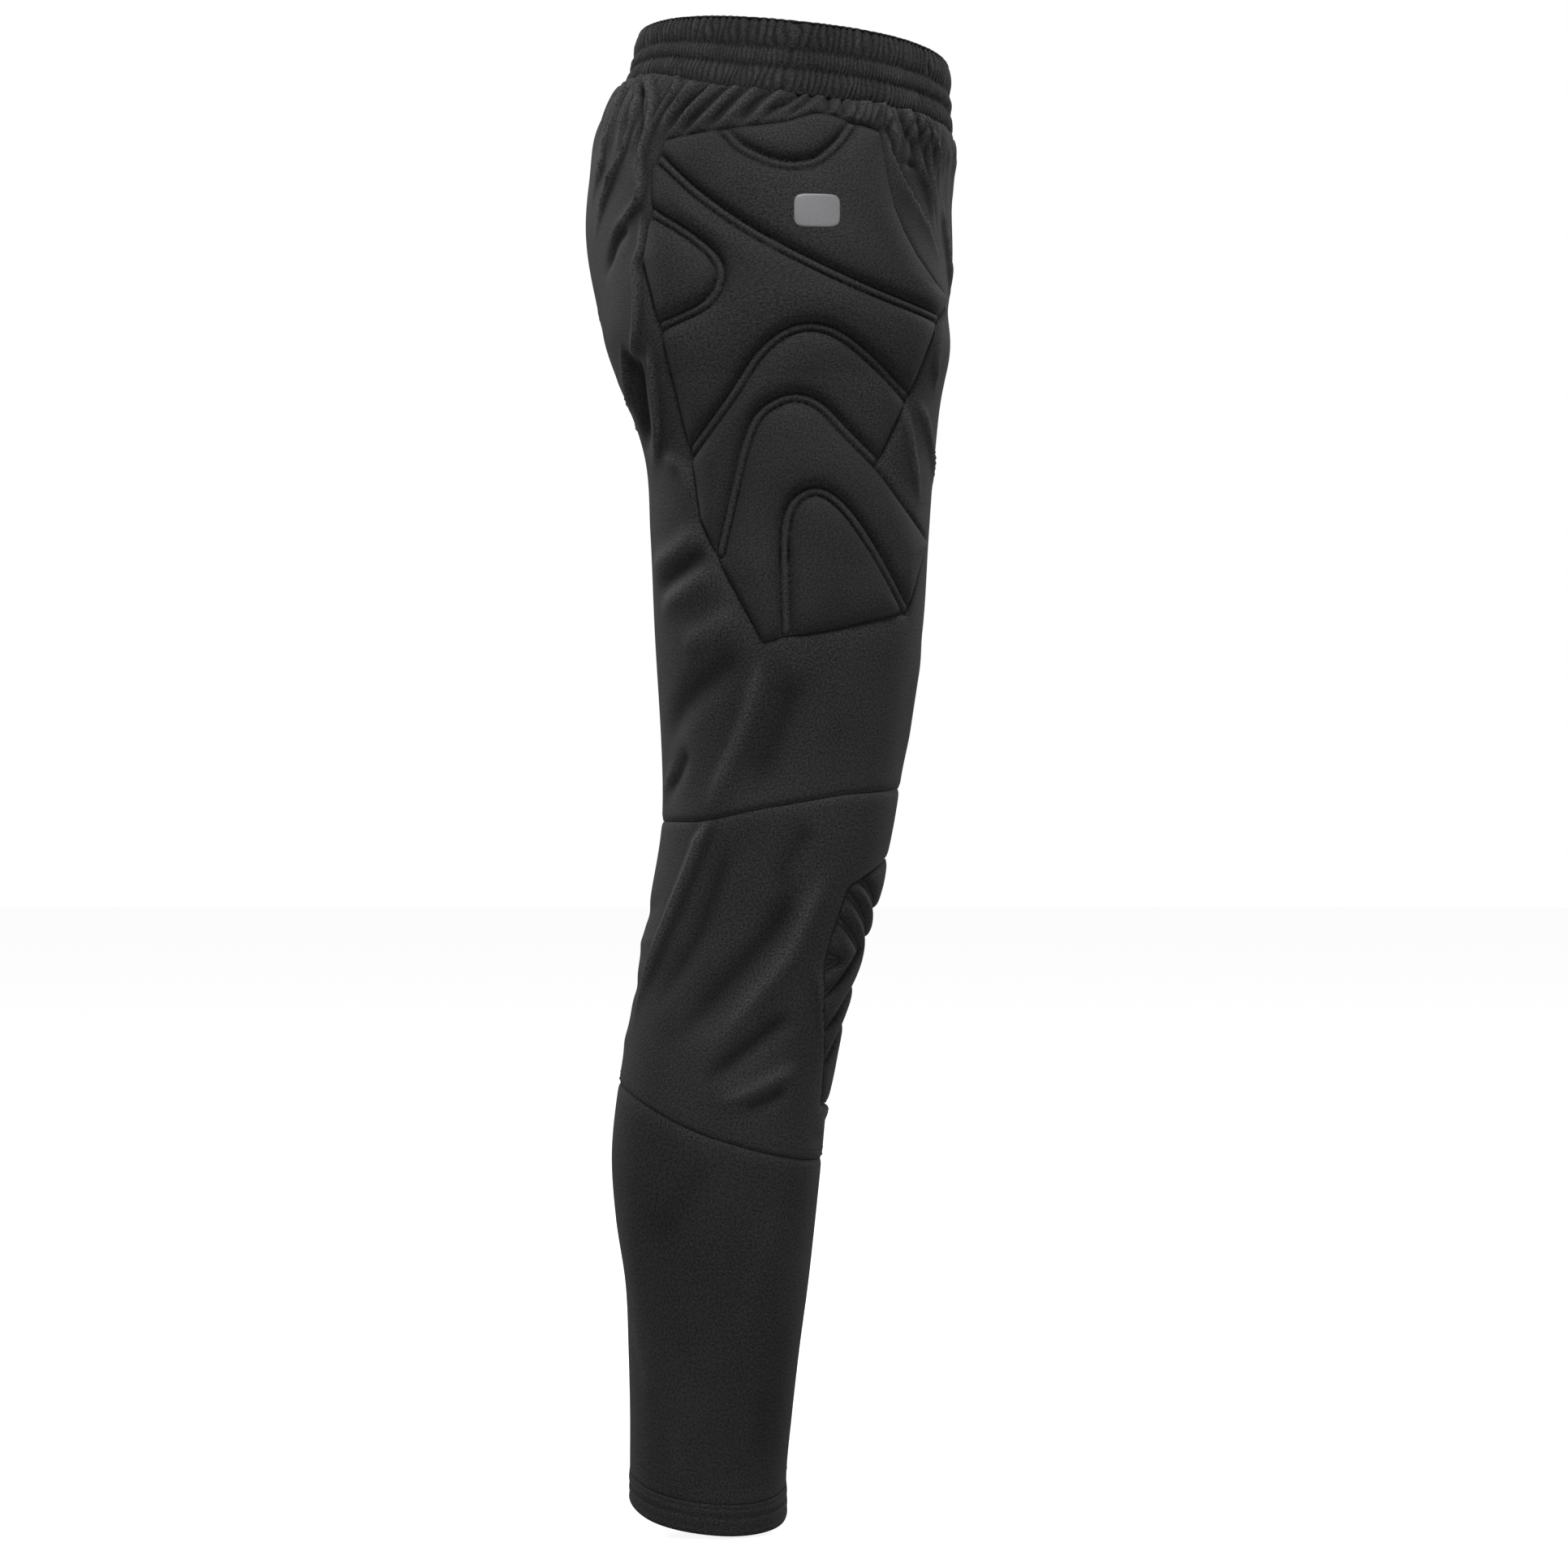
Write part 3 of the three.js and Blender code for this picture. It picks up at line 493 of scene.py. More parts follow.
def knit(name, base, rough=0.85, wale=0.0011, course=0.0008, relief=0.00022):
    """Black knit: fine loops in wales and courses, a fibre speckle, broad uneven tone, and painted
    highlights on crests and painted shade in hollows.
    """
    material, graph, shader = node_material(name, base, rough, 0.12)
    for socket, value in (("Weight", 0.03), ("Roughness", 0.5), ("Tint", (0.85, 0.85, 0.88, 1))):
        shader.inputs["Sheen " + socket].default_value = value
    cloth = graph.add("Attribute", attribute_name="cloth").outputs["Vector"]
    split = graph.add("SeparateXYZ")
    graph.join(cloth, split.inputs[0])
    columns = graph.math("MULTIPLY", split.outputs[0], 2 * math.pi / wale)
    courses = graph.math("MULTIPLY", split.outputs[1], 2 * math.pi / course)
    ribbed = graph.math("ABSOLUTE", graph.math("SINE", graph.math("MULTIPLY", columns, 0.5)))
    lean = graph.math("MULTIPLY", graph.math("SINE", columns), 1.1)
    loops = graph.math("MULTIPLY", graph.math("SINE", graph.math("ADD", courses, lean)), 0.35)
    fibre = graph.noise(cloth, Scale=680, Detail=4, Roughness=0.8)
    wear = graph.noise(cloth, Scale=9, Detail=3, Roughness=0.55)
    height = graph.math("ADD", graph.math("ADD", ribbed, loops), fibre)
    graph.bump(height, shader, 0.55, relief)
    tone = graph.math("ADD", graph.math("MULTIPLY", fibre, 0.85),
                      graph.math("MULTIPLY", wear, 0.15))
    colour = graph.ramp(tone, base, (0.40, 0.35), (0.60, 1.8))
    # painted shade and painted highlight: the relief attribute scales the colour from 0.5 in
    # hollows and stitched rows to 1.75 on crests
    shade = graph.add("MapRange")
    for socket, value in zip(shade.inputs[1:5], (-1, 1.5, 0.5, 1.75)):
        socket.default_value = value
    crests = graph.add("Attribute", attribute_name="relief")
    graph.join(crests.outputs["Fac"], shade.inputs["Value"])
    painted_shade_colour = graph.add("VectorMath", operation="SCALE")
    graph.join(colour, painted_shade_colour.inputs[0])
    graph.join(shade.outputs["Result"], painted_shade_colour.inputs["Scale"])
    graph.join(painted_shade_colour.outputs["Vector"], shader.inputs["Base Color"])
    gloss = graph.math("ADD", graph.math("MULTIPLY", fibre, 0.16), rough - 0.08)
    graph.join(gloss, shader.inputs["Roughness"])
    return material


def grained(name, base, rough, scale, spread, bump=0.0, specular=0.35, metal=0.0):
    """A finish with fine grain in colour, gloss and relief, for small hard or woven pieces."""
    material, graph, shader = node_material(name, base, rough, specular, metal)
    grain = graph.noise(graph.add("TexCoord").outputs["Object"], Scale=scale, Detail=3)
    colour = graph.ramp(grain, base, (0.3, 1 - spread), (0.7, 1 + spread))
    graph.join(colour, shader.inputs["Base Color"])
    gloss = graph.math("ADD", graph.math("MULTIPLY", grain, 0.2), rough - 0.1)
    graph.join(gloss, shader.inputs["Roughness"])
    if bump:
        graph.bump(grain, shader, 0.6, bump)
    return material


KNIT = knit("double_knit", (0.0225, 0.0216, 0.0220))
STRETCH = knit("stretch_knit", (0.0185, 0.0172, 0.0178), 0.88, 0.0008, 0.0006, 0.00015)
THREAD = grained("thread", (0.013, 0.013, 0.013), 0.75, 900, 0.4)
LINING = grained("lining_cloth", (0.02, 0.02, 0.021), 0.9, 1500, 0.35, 0.0002)
REFLECTIVE = grained("reflective_film", (0.155, 0.155, 0.160), 0.5, 2500, 0.25, 0.00005, 0.5)
ELASTIC = grained("woven_elastic", (0.6, 0.58, 0.54), 0.85, 1400, 0.15, 0.0003)
EYELET = grained("gunmetal", (0.11, 0.11, 0.12), 0.35, 700, 0.15, 0.0, 0.5, 1.0)


def finish_piece(piece, material, slot, *stands_for):
    piece.data.materials.append(material)
    if stands_for:
        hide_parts(*stands_for)


# ---------------------------------------------------------------- the bodies cloth rides, and points across the joints
HIP_START = (-20, 0, -285)  # the crotch
HIP_SLANT = 185 * math.sqrt(0.5)
HIP_END = (-20, -HIP_SLANT, -285 - HIP_SLANT)
KNEE_START, KNEE_END = (-30, -93, -552), (-50, -93, -722)
BLENDS = {"hip": ("hips", "thigh", HIP_START, HIP_END),
          "knee": ("thigh", "shin", KNEE_START, KNEE_END)}


def follow(piece, body):
    """Rides a body. A piece across a joint, given as SIDE_hip or SIDE_knee, rides none and only has
    its transform applied.
    """
    side, _, joint = body.partition("_")
    if joint not in BLENDS:
        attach(piece, body)
        return
    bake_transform(piece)


# ---------------------------------------------------------------- hip pad pattern, side view
PAD_TOP = [(-88, -91), (-50, -86), (-12, -82), (15, -75), (37, -80), (56, -85)]
PAD_FRONT = [(56, -85), (59, -100), (62, -118), (66, -136), (72, -151), (81, -167), (91, -180),
             (101, -190), (101, -199), (95, -214), (75, -265), (53, -312), (88, -358), (75, -408)]
PAD_REAR = [(-88, -91), (-98, -112), (-98, -138), (-104, -173), (-92, -221), (-79, -273),
            (-72, -301), (-65, -347), (-53, -374), (-23, -429)]
PAD_BOTTOM = [(-23, -429), (26, -420), (75, -408)]
CHANNELS = [
    [(-48, -89), (-36, -101), (-12, -111), (10, -110), (26, -98), (37, -83)],
    [(-92, -105), (-66, -131), (-33, -155), (10, -178), (53, -196), (98, -210)],
    [(-97, -141), (-71, -159), (-55, -174), (-51, -189), (-61, -205), (-91, -218)],
    [(-70, -301), (-44, -267), (-26, -240), (-9, -225), (9, -220), (28, -225),
                   (51, -242), (75, -265)],
    [(-51, -369), (-42, -331), (-34, -299), (-25, -279), (-11, -269), (2, -267),
                    (16, -273), (34, -291), (55, -311)],
    [(-7, -426), (-8, -391), (-8, -358), (-4, -341), (5, -331), (18, -330),
                   (34, -343), (53, -370), (74, -407)],
]


class Pad:
    """A quilted pad: its outline and stitched channels, and how high it stands over them."""

    def __init__(self, edges, channels, foam, shoulder, gap, cord):
        self.edges = edges  # top, bottom, rear and front, as [u, row] lines
        self.outline = [Line(edge) for edge in edges]
        self.channels = [Line(channel) for channel in channels]
        self.foam, self.shoulder, self.gap, self.cord = foam, shoulder, gap, cord

    def from_outline(self, places, reach=40.0):
        gaps = [line.nearest(places, reach)[0] for line in self.outline]
        return np.fmin.reduce([np.nan_to_num(g, nan=reach) for g in gaps])

    def field(self, places):
        """Distance inside the outline, from the nearest channel, and along that channel."""
        channel, along = np.full(len(places), 40.0), np.zeros(len(places))
        for line in self.channels:
            distance, _, where = line.nearest(places, 40.0)
            nearer = np.nan_to_num(distance, nan=99) < channel
            channel = np.where(nearer, distance, channel)
            along = np.where(nearer, where, along)
        return self.from_outline(places), channel, along

    def rise(self, edge, channel, along):
        """Height over the seam level, from a field inside the outline."""
        inside = np.maximum(edge - 0.8, 0)
        over_edge = 1 - 0.3 * np.exp(-inside / 1.2) - 0.7 * np.exp(-inside / (2 * self.shoulder))
        beside = 1 - np.exp(-np.maximum(channel - self.gap, 0) / self.shoulder)
        crown = 0.12 * smoothstep(np.minimum(edge, channel), 6, 26)
        rise = self.foam * (over_edge * beside + crown)
        cord = np.sqrt(np.clip(1 - (channel / self.gap) ** 2, 0, 1))
        rise += self.cord * cord * smoothstep(edge, 0.5, 4)
        from_row = np.abs(channel - self.gap)
        pucker = np.sin(np.pi * along / STITCH_PITCH) * np.exp(-from_row / 2.5)
        rise += 0.16 * pucker * (channel > self.gap)
        return rise - bell(channel, 5) - SEAM_DIP

    def relief(self, edge, channel, along):
        """Shade from -1 in the stitched rows to 1 on crests."""
        stitches = 0.75 + 0.25 * np.cos(2 * np.pi * along / STITCH_PITCH)
        row = bell(channel - self.gap, 0.9) * stitches
        slope = np.exp(-np.maximum(channel - self.gap, 0) / 3.5) * (channel > self.gap)
        cord = np.clip(1 - (channel / self.gap) ** 2, 0, 1)
        return np.clip(0.5 * cord - 1.05 * row - 0.45 * slope - 0.5 * bell(edge, 0.8), -1, 1)

    def dip(self, u, row, places, under):
        """How far cloth at a grid dips towards the pad's seam or lies under the pad, and which
        cloth lies under it."""
        top, bottom, rear, front = self.edges
        inside = inside_polygon(u, row, np.vstack([top, front, bottom[::-1], rear[::-1]]))
        distance = self.from_outline(places.reshape(-1, 3), 14.0).reshape(row.shape)
        beside = -SEAM_DIP * np.exp(-distance / 1.8)
        below = -SEAM_DIP - np.minimum(distance * PAD_TUCK, under - SEAM_DIP)
        return np.where(inside, below, beside), inside

    def build(self, side, joint, rows, columns, lining, lift, rim, middle, foams):
        """The pad as one closed piece, cover outside and lining inside, and its stitches."""
        u, row = np.moveaxis(coons(self.edges, rows, columns), -1, 0)
        base, normal = face(u, row), outward(u, row)
        field = self.field(base.reshape(-1, 3))
        rise, relief = (part(*field).reshape(rows, columns) for part in (self.rise, self.relief))
        whole = slice(None)
        for edge, beside in (((0, whole), (1, whole)), ((-1, whole), (-2, whole)),
                             ((whole, 0), (whole, 1)), ((whole, -1), (whole, -2))):
            base[edge] += unit(base[edge] - base[beside]) * PAD_TUCK
            rise[edge] = -SEAM_DIP - PAD_TUCK
        grids = base + normal * rise[..., None], base - normal * lining
        outer, inner, flat, relief = (
            grid[:, ::-1] for grid in (*grids, pattern_length(base), relief))
        name, sign = f"{side}_{joint}_pad", SIDES[side]
        piece = shell(name, outer, inner, sign, cloth=flat, relief=relief)
        finish_piece(piece, KNIT, "knit", f"{name}_cover", f"{name}_lining",
                     *(f"{side}_{joint}_foam_{foam}" for foam in foams))
        follow(piece, f"{side}_{joint}")

        def height(places):
            return self.rise(*self.field(places)) + lift

        stitched = [line.stitches(shift, STITCH_PITCH, height)
                    for line in self.channels for shift in (-self.gap, self.gap)]
        for line in self.outline:
            inwards = np.sign(((face(*middle) - line.at) * line.across).sum(axis=1).mean())
            stitched.append(line.stitches(rim * inwards, 2.6, height))
        stitching(f"{name}_stitching", stitched, sign, "knit", f"{side}_{joint}")


def inside_polygon(x, y, polygon):
    """Which points lie inside a polygon (m, 2)."""
    inside = np.zeros(x.shape, bool)
    for (ax, ay), (bx, by) in zip(polygon, np.roll(polygon, -1, axis=0)):
        if ay != by:
            inside ^= ((ay > y) != (by > y)) & (x < (bx - ax) * (y - ay) / (by - ay) + ax)
    return inside


def coons(edges, rows, columns):
    """[u, row] grid between four lines, (rows, columns, 2), with u falling along the top."""
    top, bottom = (spread_evenly(edge, columns) for edge in edges[:2])
    rear, front = (spread_evenly(edge, rows) for edge in edges[2:])
    s = np.linspace(0, 1, columns)[None, :, None]
    t = np.linspace(0, 1, rows)[:, None, None]
    grid = (1 - t) * top[None] + t * bottom[None] + (1 - s) * rear[:, None] + s * front[:, None]
    grid -= (1 - s) * (1 - t) * top[0] + s * (1 - t) * top[-1]
    grid -= (1 - s) * t * bottom[0] + s * t * bottom[-1]
    return grid


def spread_evenly(line, count):
    """count points at equal steps along a [u, row] line."""
    along = running_length(line * ROUND)
    return picked(np.linspace(0, along[-1], count), along, line)


def pattern_length(grid):
    """The flat pattern's [round, down] for a grid of points, from true lengths."""
    steps = (np.linalg.norm(np.diff(grid, axis=axis), axis=2).mean(axis=1 - axis)
             for axis in (1, 0))
    return np.stack(np.meshgrid(*(np.concatenate([[0], np.cumsum(s)]) for s in steps)), axis=-1)


HIP_PAD = Pad([side_line(PAD_TOP), side_line(PAD_BOTTOM), side_line(PAD_REAR, curved=False),
               side_line(PAD_FRONT, curved=False)],
              [side_line(points, 0.6) for points in CHANNELS], FOAM, 3.6, CHANNEL, CORD)


def reflective_patch(side):
    """A plain rounded patch of film that lies on the pad."""
    x, z, half_width, half_height = 12, -144, 14.5, 11
    across, down = np.meshgrid(np.linspace(-1, 1, 40), np.linspace(1, -1, 24))
    largest = np.maximum(np.maximum(np.abs(across), np.abs(down)), 1e-6)
    rounding = (np.abs(across) ** 5 + np.abs(down) ** 5) ** 0.2 / largest
    grid = np.stack([x + half_width * across / rounding,
                     z + half_height * down / rounding], axis=-1)
    u, row = np.moveaxis(on_side(grid.reshape(-1, 2)).reshape(grid.shape)[:, ::-1], -1, 0)
    places, normal = face(u, row), outward(u, row)
    rise = HIP_PAD.rise(*HIP_PAD.field(places.reshape(-1, 3))).reshape(row.shape)
    rim = np.where(largest[:, ::-1] > 0.97, 0.22, 0.38)
    outer, inner = (places + normal * (rise + over)[..., None] for over in (rim, -0.2))
    patch = shell(f"{side}_reflective_patch_film", outer, inner, SIDES[side])
    finish_piece(patch, REFLECTIVE, "reflective", f"{side}_reflective_patch")
    follow(patch, f"{side}_hip")


# ---------------------------------------------------------------- folds of the legs
def knee_seam_top(u):
    sag = 3.6 * bell(u - 0.6, 0.07) - 1.4 * bell(u - 0.42, 0.05)
    return -538 + 11 * np.cos(2 * np.pi * (u - 0.25)) - sag


def knee_seam_bottom(u):
    turn = 2 * np.pi * (u - 0.25)
    return -757.5 - 26 * np.cos(turn) + 4.5 * np.cos(2 * turn)


SIDE_FOLDS = [  # side-view points, width, height, power, tilt
    # seat: crisp crests that run down from the waistband
    ([(-97, -50), (-95, -62), (-97, -74), (-99, -85), (-102, -95), (-104, -107), (-104, -120),
      (-106, -132), (-114, -141), (-123, -149), (-130, -163)], 2.6, 6.4, 1.1, 0.2),
    ([(-104, -50), (-107, -64), (-112, -79), (-116, -92), (-123, -107), (-130, -125), (-136, -142),
      (-140, -151)], 2.4, 6.0, 1.1, 0.2),
    ([(-113, -52), (-121, -66), (-127, -81), (-130, -92), (-133, -104), (-139, -118), (-141, -132)],
     2.3, 5.4, 1.1, 0),
    ([(-79, -50), (-81, -60), (-88, -69), (-95, -79), (-99, -88)], 2.3, 5.4, 1.15, 0),
    ([(-102, -58), (-105, -72), (-107, -88), (-109, -104)], 3.6, -4.6, 1.6, 0),
    ([(-111, -69), (-114, -80), (-119, -95), (-126, -110)], 3.4, -4.2, 1.6, 0),
    ([(-111, -148), (-121, -155), (-127, -169), (-130, -182)], 5.0, -3.4, 1.8, 0),
    # gathers that lean back over the pad's top
    ([(-70, -56), (-79, -68), (-87, -78), (-95, -92)], 2.8, 4.6, 1.2, 0),
    ([(-62, -59), (-72, -68), (-80, -77), (-90, -89)], 2.6, -4.2, 1.5, 0),
    ([(-58, -58), (-68, -68), (-77, -78), (-87, -91)], 2.6, 3.8, 1.2, 0),
    ([(-48, -59), (-58, -68), (-68, -77), (-84, -94)], 2.6, -4.4, 1.5, 0),
    ([(-42, -59), (-54, -71), (-65, -81), (-76, -92)], 3.0, 3.6, 1.2, 0),
    ([(-35, -60), (-44, -69), (-53, -78), (-64, -88)], 2.4, -3.6, 1.5, 0),
    ([(-29, -60), (-38, -70), (-47, -79), (-55, -87)], 3.0, 3.2, 1.2, 0),
    ([(-19, -62), (-26, -68), (-33, -76), (-41, -84)], 2.4, -4.2, 1.5, 0),
    ([(-12, -62), (-20, -70), (-28, -78), (-36, -84)], 3.0, 3.2, 1.2, 0),
    ([(1, -63), (-6, -68), (-16, -73), (-27, -83)], 2.4, -4.2, 1.5, 0),
    ([(10, -64), (4, -70), (-3, -75), (-10, -80)], 2.4, -3.6, 1.5, 0),
    ([(22, -65), (21, -71), (19, -78)], 2.6, -3.6, 1.6, 0),
    ([(31, -66), (31, -73), (30, -80)], 2.6, -3.6, 1.6, 0),
    ([(40, -67), (40, -74), (41, -81)], 2.6, -3.4, 1.6, 0),
    # pocket edge and the folds beside it
    ([(55, -75), (61, -90), (64, -102), (73, -120), (85, -138), (93, -154), (97, -163), (99, -178)],
     6.0, 3.0, 1.4, 1),
    ([(56, -66), (60, -76), (64, -86), (67, -94), (71, -104)], 2.4, 3.6, 1.15, 0),
    ([(66, -64), (70, -80), (75, -90), (79, -102)], 2.4, -3.4, 1.5, 0),
    ([(71, -66), (75, -81), (80, -94), (83, -106), (89, -120), (93, -140), (96, -152)],
     2.6, 4.8, 1.15, 0),
    ([(76, -64), (80, -80), (84, -94), (87, -106)], 2.4, -3.4, 1.5, 0),
    ([(80, -64), (83, -77), (88, -94), (91, -116), (95, -134), (99, -152)], 2.6, 4.6, 1.15, 0),
    ([(86, -64), (88, -76), (93, -90), (96, -106), (99, -124)], 2.4, 4.0, 1.15, 0),
    ([(100, -122), (101, -142), (104, -167), (105, -192)], 3.0, 3.8, 1.15, 0),
    ([(69, -105), (76, -105), (83, -109)], 1.6, -2.2, 1.6, 0),  # the bartack's pull
    # under the seat
    ([(-108, -137), (-104, -148), (-104, -163), (-108, -176), (-107, -195), (-108, -218),
      (-111, -235), (-112, -251)], 3.2, 4.2, 1.15, 0),
    ([(-113, -228), (-109, -256), (-105, -280), (-102, -302)], 9.0, -9.0, 2.2, 0),
    ([(-119, -226), (-117, -245), (-114, -269)], 3.0, 2.8, 1.2, 0),
    ([(-100, -225), (-98, -239), (-96, -253), (-94, -272), (-93, -286), (-95, -300), (-100, -310)],
     3.0, 5.0, 1.15, -0.2),
    ([(78, -262), (83, -270), (87, -278), (92, -300), (93, -322)], 3.0, 3.0, 1.2, 0),
    ([(70, -268), (74, -278), (78, -300), (81, -319), (84, -336)], 3.0, 2.6, 1.2, 0),
    ([(99, -205), (96, -222), (94, -249), (95, -262)], 3.0, 2.6, 1.2, 0),
    ([(-91, -304), (-79, -309), (-73, -319), (-70, -333)], 3.6, 2.6, 1.4, 0),
    # back of the thigh
    ([(-61, -350), (-78, -364), (-98, -378)], 8, 3.6, 1.7, 0),
    ([(-58, -364), (-76, -379), (-95, -392)], 7, -3.2, 2, 0),
    ([(-52, -378), (-75, -393), (-93, -407)], 7, 3.2, 1.7, 0),
    ([(-39, -406), (-58, -420), (-80, -432)], 8, 2.8, 1.7, 0),
    ([(-33, -430), (-52, -446), (-76, -470), (-90, -500)], 11, -3.6, 2, 0),
    ([(-22, -434), (-29, -462), (-36, -486), (-46, -510), (-55, -530), (-64, -550)],
     5.5, 5.0, 1.3, 0),
    ([(-73, -497), (-79, -514), (-88, -531)], 6, -2.8, 2, 0),
    ([(-81, -510), (-87, -522), (-91, -533)], 4, 2.4, 1.3, 0),
    ([(0, -440), (-8, -475), (-22, -510), (-30, -540)], 15, -2.4, 2, 0),
]
KNEE_FOLDS = [
    ([(-49, -516), (-60, -544), (-69, -571), (-81, -601), (-91, -626), (-102, -656), (-109, -679),
      (-111, -698)], 4.2, 5.0, 1.2, 0.15),
    ([(-41, -557), (-52, -584), (-66, -622), (-83, -652), (-100, -681)], 9, -3.0, 2, 0),
    ([(-1, -580), (-9, -612), (-30, -639), (-52, -662), (-77, -688), (-96, -707)], 11, -5.4, 2, 0),
    ([(27, -574), (10, -601), (-5, -635), (-26, -662), (-52, -692), (-73, -711)], 9, 3.8, 1.7, 0),
    ([(1, -675), (-26, -696), (-49, -713), (-69, -726)], 7.5, -3.8, 2, 0),
    ([(3, -711), (-22, -724), (-43, -733), (-60, -739)], 7, 3.2, 1.7, 0),
    ([(-5, -728), (-26, -739), (-39, -745)], 6, -1.6, 2, 0),
    ([(12, -548), (3, -562), (-8, -580), (-11, -601)], 10, -1.8, 2, 0),
    ([(14, -640), (17, -662), (19, -686), (21, -715), (20, -742)], 3.4, 2.6, 1.2, 0),
    ([(22, -738), (18, -750), (10, -762)], 3.4, 2.4, 1.2, 0),
]
LOWER_FOLDS = [
    ([(-118, -800), (-112, -850), (-104, -905)], 12, 1.2, 2, 0),
    ([(-60, -770), (-80, -810), (-104, -840)], 14, -1.0, 2, 0),
    ([(-10, -800), (-30, -860), (-40, -920)], 14, 0.8, 2, 0),
    ([(-112, -884), (-104, -915), (-98, -948)], 6, 0.9, 2, 0),
    ([(-20, -930), (-24, -965), (-22, -995)], 10, -0.8, 2, 0),
    ([(-84, -950), (-82, -980), (-84, -1004)], 9, 0.8, 2, 0),
]
# Folds the side view hides: [u, row] path, width, height, power.
CROTCH_FOLDS = [
    ([(0.02, -215), (0.07, -232), (0.13, -240), (0.2, -238)], 5, 2.0, 1.5),
    ([(0.01, -235), (0.06, -258), (0.12, -270), (0.19, -272)], 6, -2.2, 2),
    ([(0.02, -255), (0.06, -285), (0.11, -305)], 6, 1.8, 1.6),
    ([(0.1, -70), (0.11, -120), (0.105, -170)], 6, 1.8, 1.5),
    ([(0.05, -70), (0.055, -110), (0.06, -150)], 5, -1.5, 2),
    ([(0.98, -190), (0.93, -225), (0.87, -255), (0.82, -262)], 7, -3.2, 2),
    ([(0.985, -170), (0.93, -200), (0.87, -235), (0.82, -240)], 6, 2.4, 1.5),
    ([(0.985, -225), (0.94, -262), (0.88, -290), (0.82, -300)], 6, 2.4, 1.5),
    ([(0.93, -330), (0.87, -350), (0.8, -360)], 9, 2.0, 2),
    ([(0.93, -380), (0.86, -400), (0.78, -405)], 10, -2.0, 2),
    ([(0.9, -420), (0.84, -450), (0.76, -470)], 9, 1.8, 2),
    ([(0.04, -340), (0.06, -400), (0.08, -470)], 10, 1.6, 2),
    ([(0.17, -400), (0.2, -450), (0.19, -500)], 12, -1.6, 2),
    ([(0.26, -420), (0.27, -470), (0.25, -520)], 12, 1.6, 2),
]
BACK_KNEE_FOLDS = [
    ([(0.66, -600), (0.75, -612), (0.84, -604)], 7, -1.4, 2),
    ([(0.64, -625), (0.75, -632), (0.86, -628)], 6, 1.3, 1.6),
    ([(0.66, -655), (0.76, -662), (0.86, -650)], 7, -1.3, 2),
    ([(0.68, -690), (0.78, -700), (0.9, -690)], 8, 1.1, 1.8),
    ([(0.9, -570), (0.95, -620), (0.99, -660)], 9, 1.0, 2),
    ([(0.02, -600), (0.06, -650), (0.1, -700)], 9, -1.0, 2),
    ([(0.01, -560), (0.05, -590), (0.1, -610)], 8, 1.0, 2),
]


def side_folds(rows, side):
    """The folds drawn in the side view. The left leg's are shifted and gentler."""
    shift, scale = (0, 1) if side == "right" else (4, 0.85)
    folds = []
    for points, width, height, power, tilt in rows:
        ends = (0.0, 0.45) if points[0][1] > -72 else (0.25, 0.35)  # full height at the waistband
        line = side_line([(x, z - shift) for x, z in points], 2.5)
        folds.append(Fold(line, width, height * scale, power, tilt, ends))
    return folds


def round_folds(rows, side, shift):
    """The hidden folds. The left leg's are moved round a little."""
    folds = []
    for path, width, height, power in rows:
        path = np.array(path) + (0 if side == "right" else shift, 0)
        line = resampled_cloth(smooth(path * ROUND) / ROUND, 3)
        folds.append(Fold(line, width, height, power))
    return folds


def band_row(u, depth):
    """The row a depth below the waistband's top edge. The band is lower at the back."""
    return WAIST_TOP + depth * (1 - 0.2 * smoothstep(u, 0.55, 0.8))


def waist_gathers(side):
    """Gathers all round under the waistband: narrow where they leave it, wider lower down."""
    random = np.random.default_rng(11 if side == "right" else 12)
    folds, u = [], 0.004
    while u < 0.997:
        behind = smoothstep(u, 0.5, 0.8)
        length = random.uniform(18, 40)
        if u < 0.3 or u > 0.68:
            length += 45 * random.random() ** 2
        lean = random.normal(0, 0.004)
        if 0.36 < u < 0.75:  # over the pad they lean back as they fall
            lean += 0.07 * length / 30 * math.sin(np.pi * (u - 0.36) / 0.39)
        down = np.linspace(0, 1, 7)
        path = np.stack([u + lean * down**1.1 + 0.001 * np.sin(5 * down + random.uniform(0, 6)),
                         band_row(u, -WAISTBAND) + 1 - length * down], axis=-1)
        path[:, 0] = np.clip(path[:, 0], 0.001, 0.999)
        height = random.uniform(3.0, 5.0) * (1 + 0.25 * behind)
        if 0.4 < u < 0.72:  # drawn one by one in SIDE_FOLDS
            height, length = 0.5 * height, 0.6 * length
        folds.append(Fold(resampled_cloth(path, 2.5), random.uniform(1.5, 2.2) + length / 50,
                          height, 1.3, 0, (0.0, 0.75)))
        u += random.uniform(0.0105, 0.0175)
    return folds


# ---------------------------------------------------------------- the cloth of the legs
def closer_columns(count):
    """Places round the leg, closer together where the seat's and the pocket's folds are."""
    u = np.linspace(0, 1, 2001)
    total = np.cumsum(0.7 + 1.5 * bell(u - 0.69, 0.07) + bell(u - 0.35, 0.06))
    total -= total[0]
    return np.interp(np.linspace(0, total[-1], count), total, u)


def cloth_tube(side, name, node, base, normal, rise, shade, body, material=KNIT, slot="knit",
               shift=0, **facts):
    """A tube of cloth that stands off a grid of the plain face by its rise."""
    outer, inner = (base + normal * (rise - depth)[..., None] for depth in (0, FABRIC))
    for skin in (outer, inner):
        skin[..., 1] -= shift
    piece = shell(f"{side}_{name}", outer, inner, SIDES[side], cloth=pattern_length(base),
                  relief=folded(rise, shade))
    finish_piece(piece, material, slot, f"{side}_{node}")
    follow(piece, body)


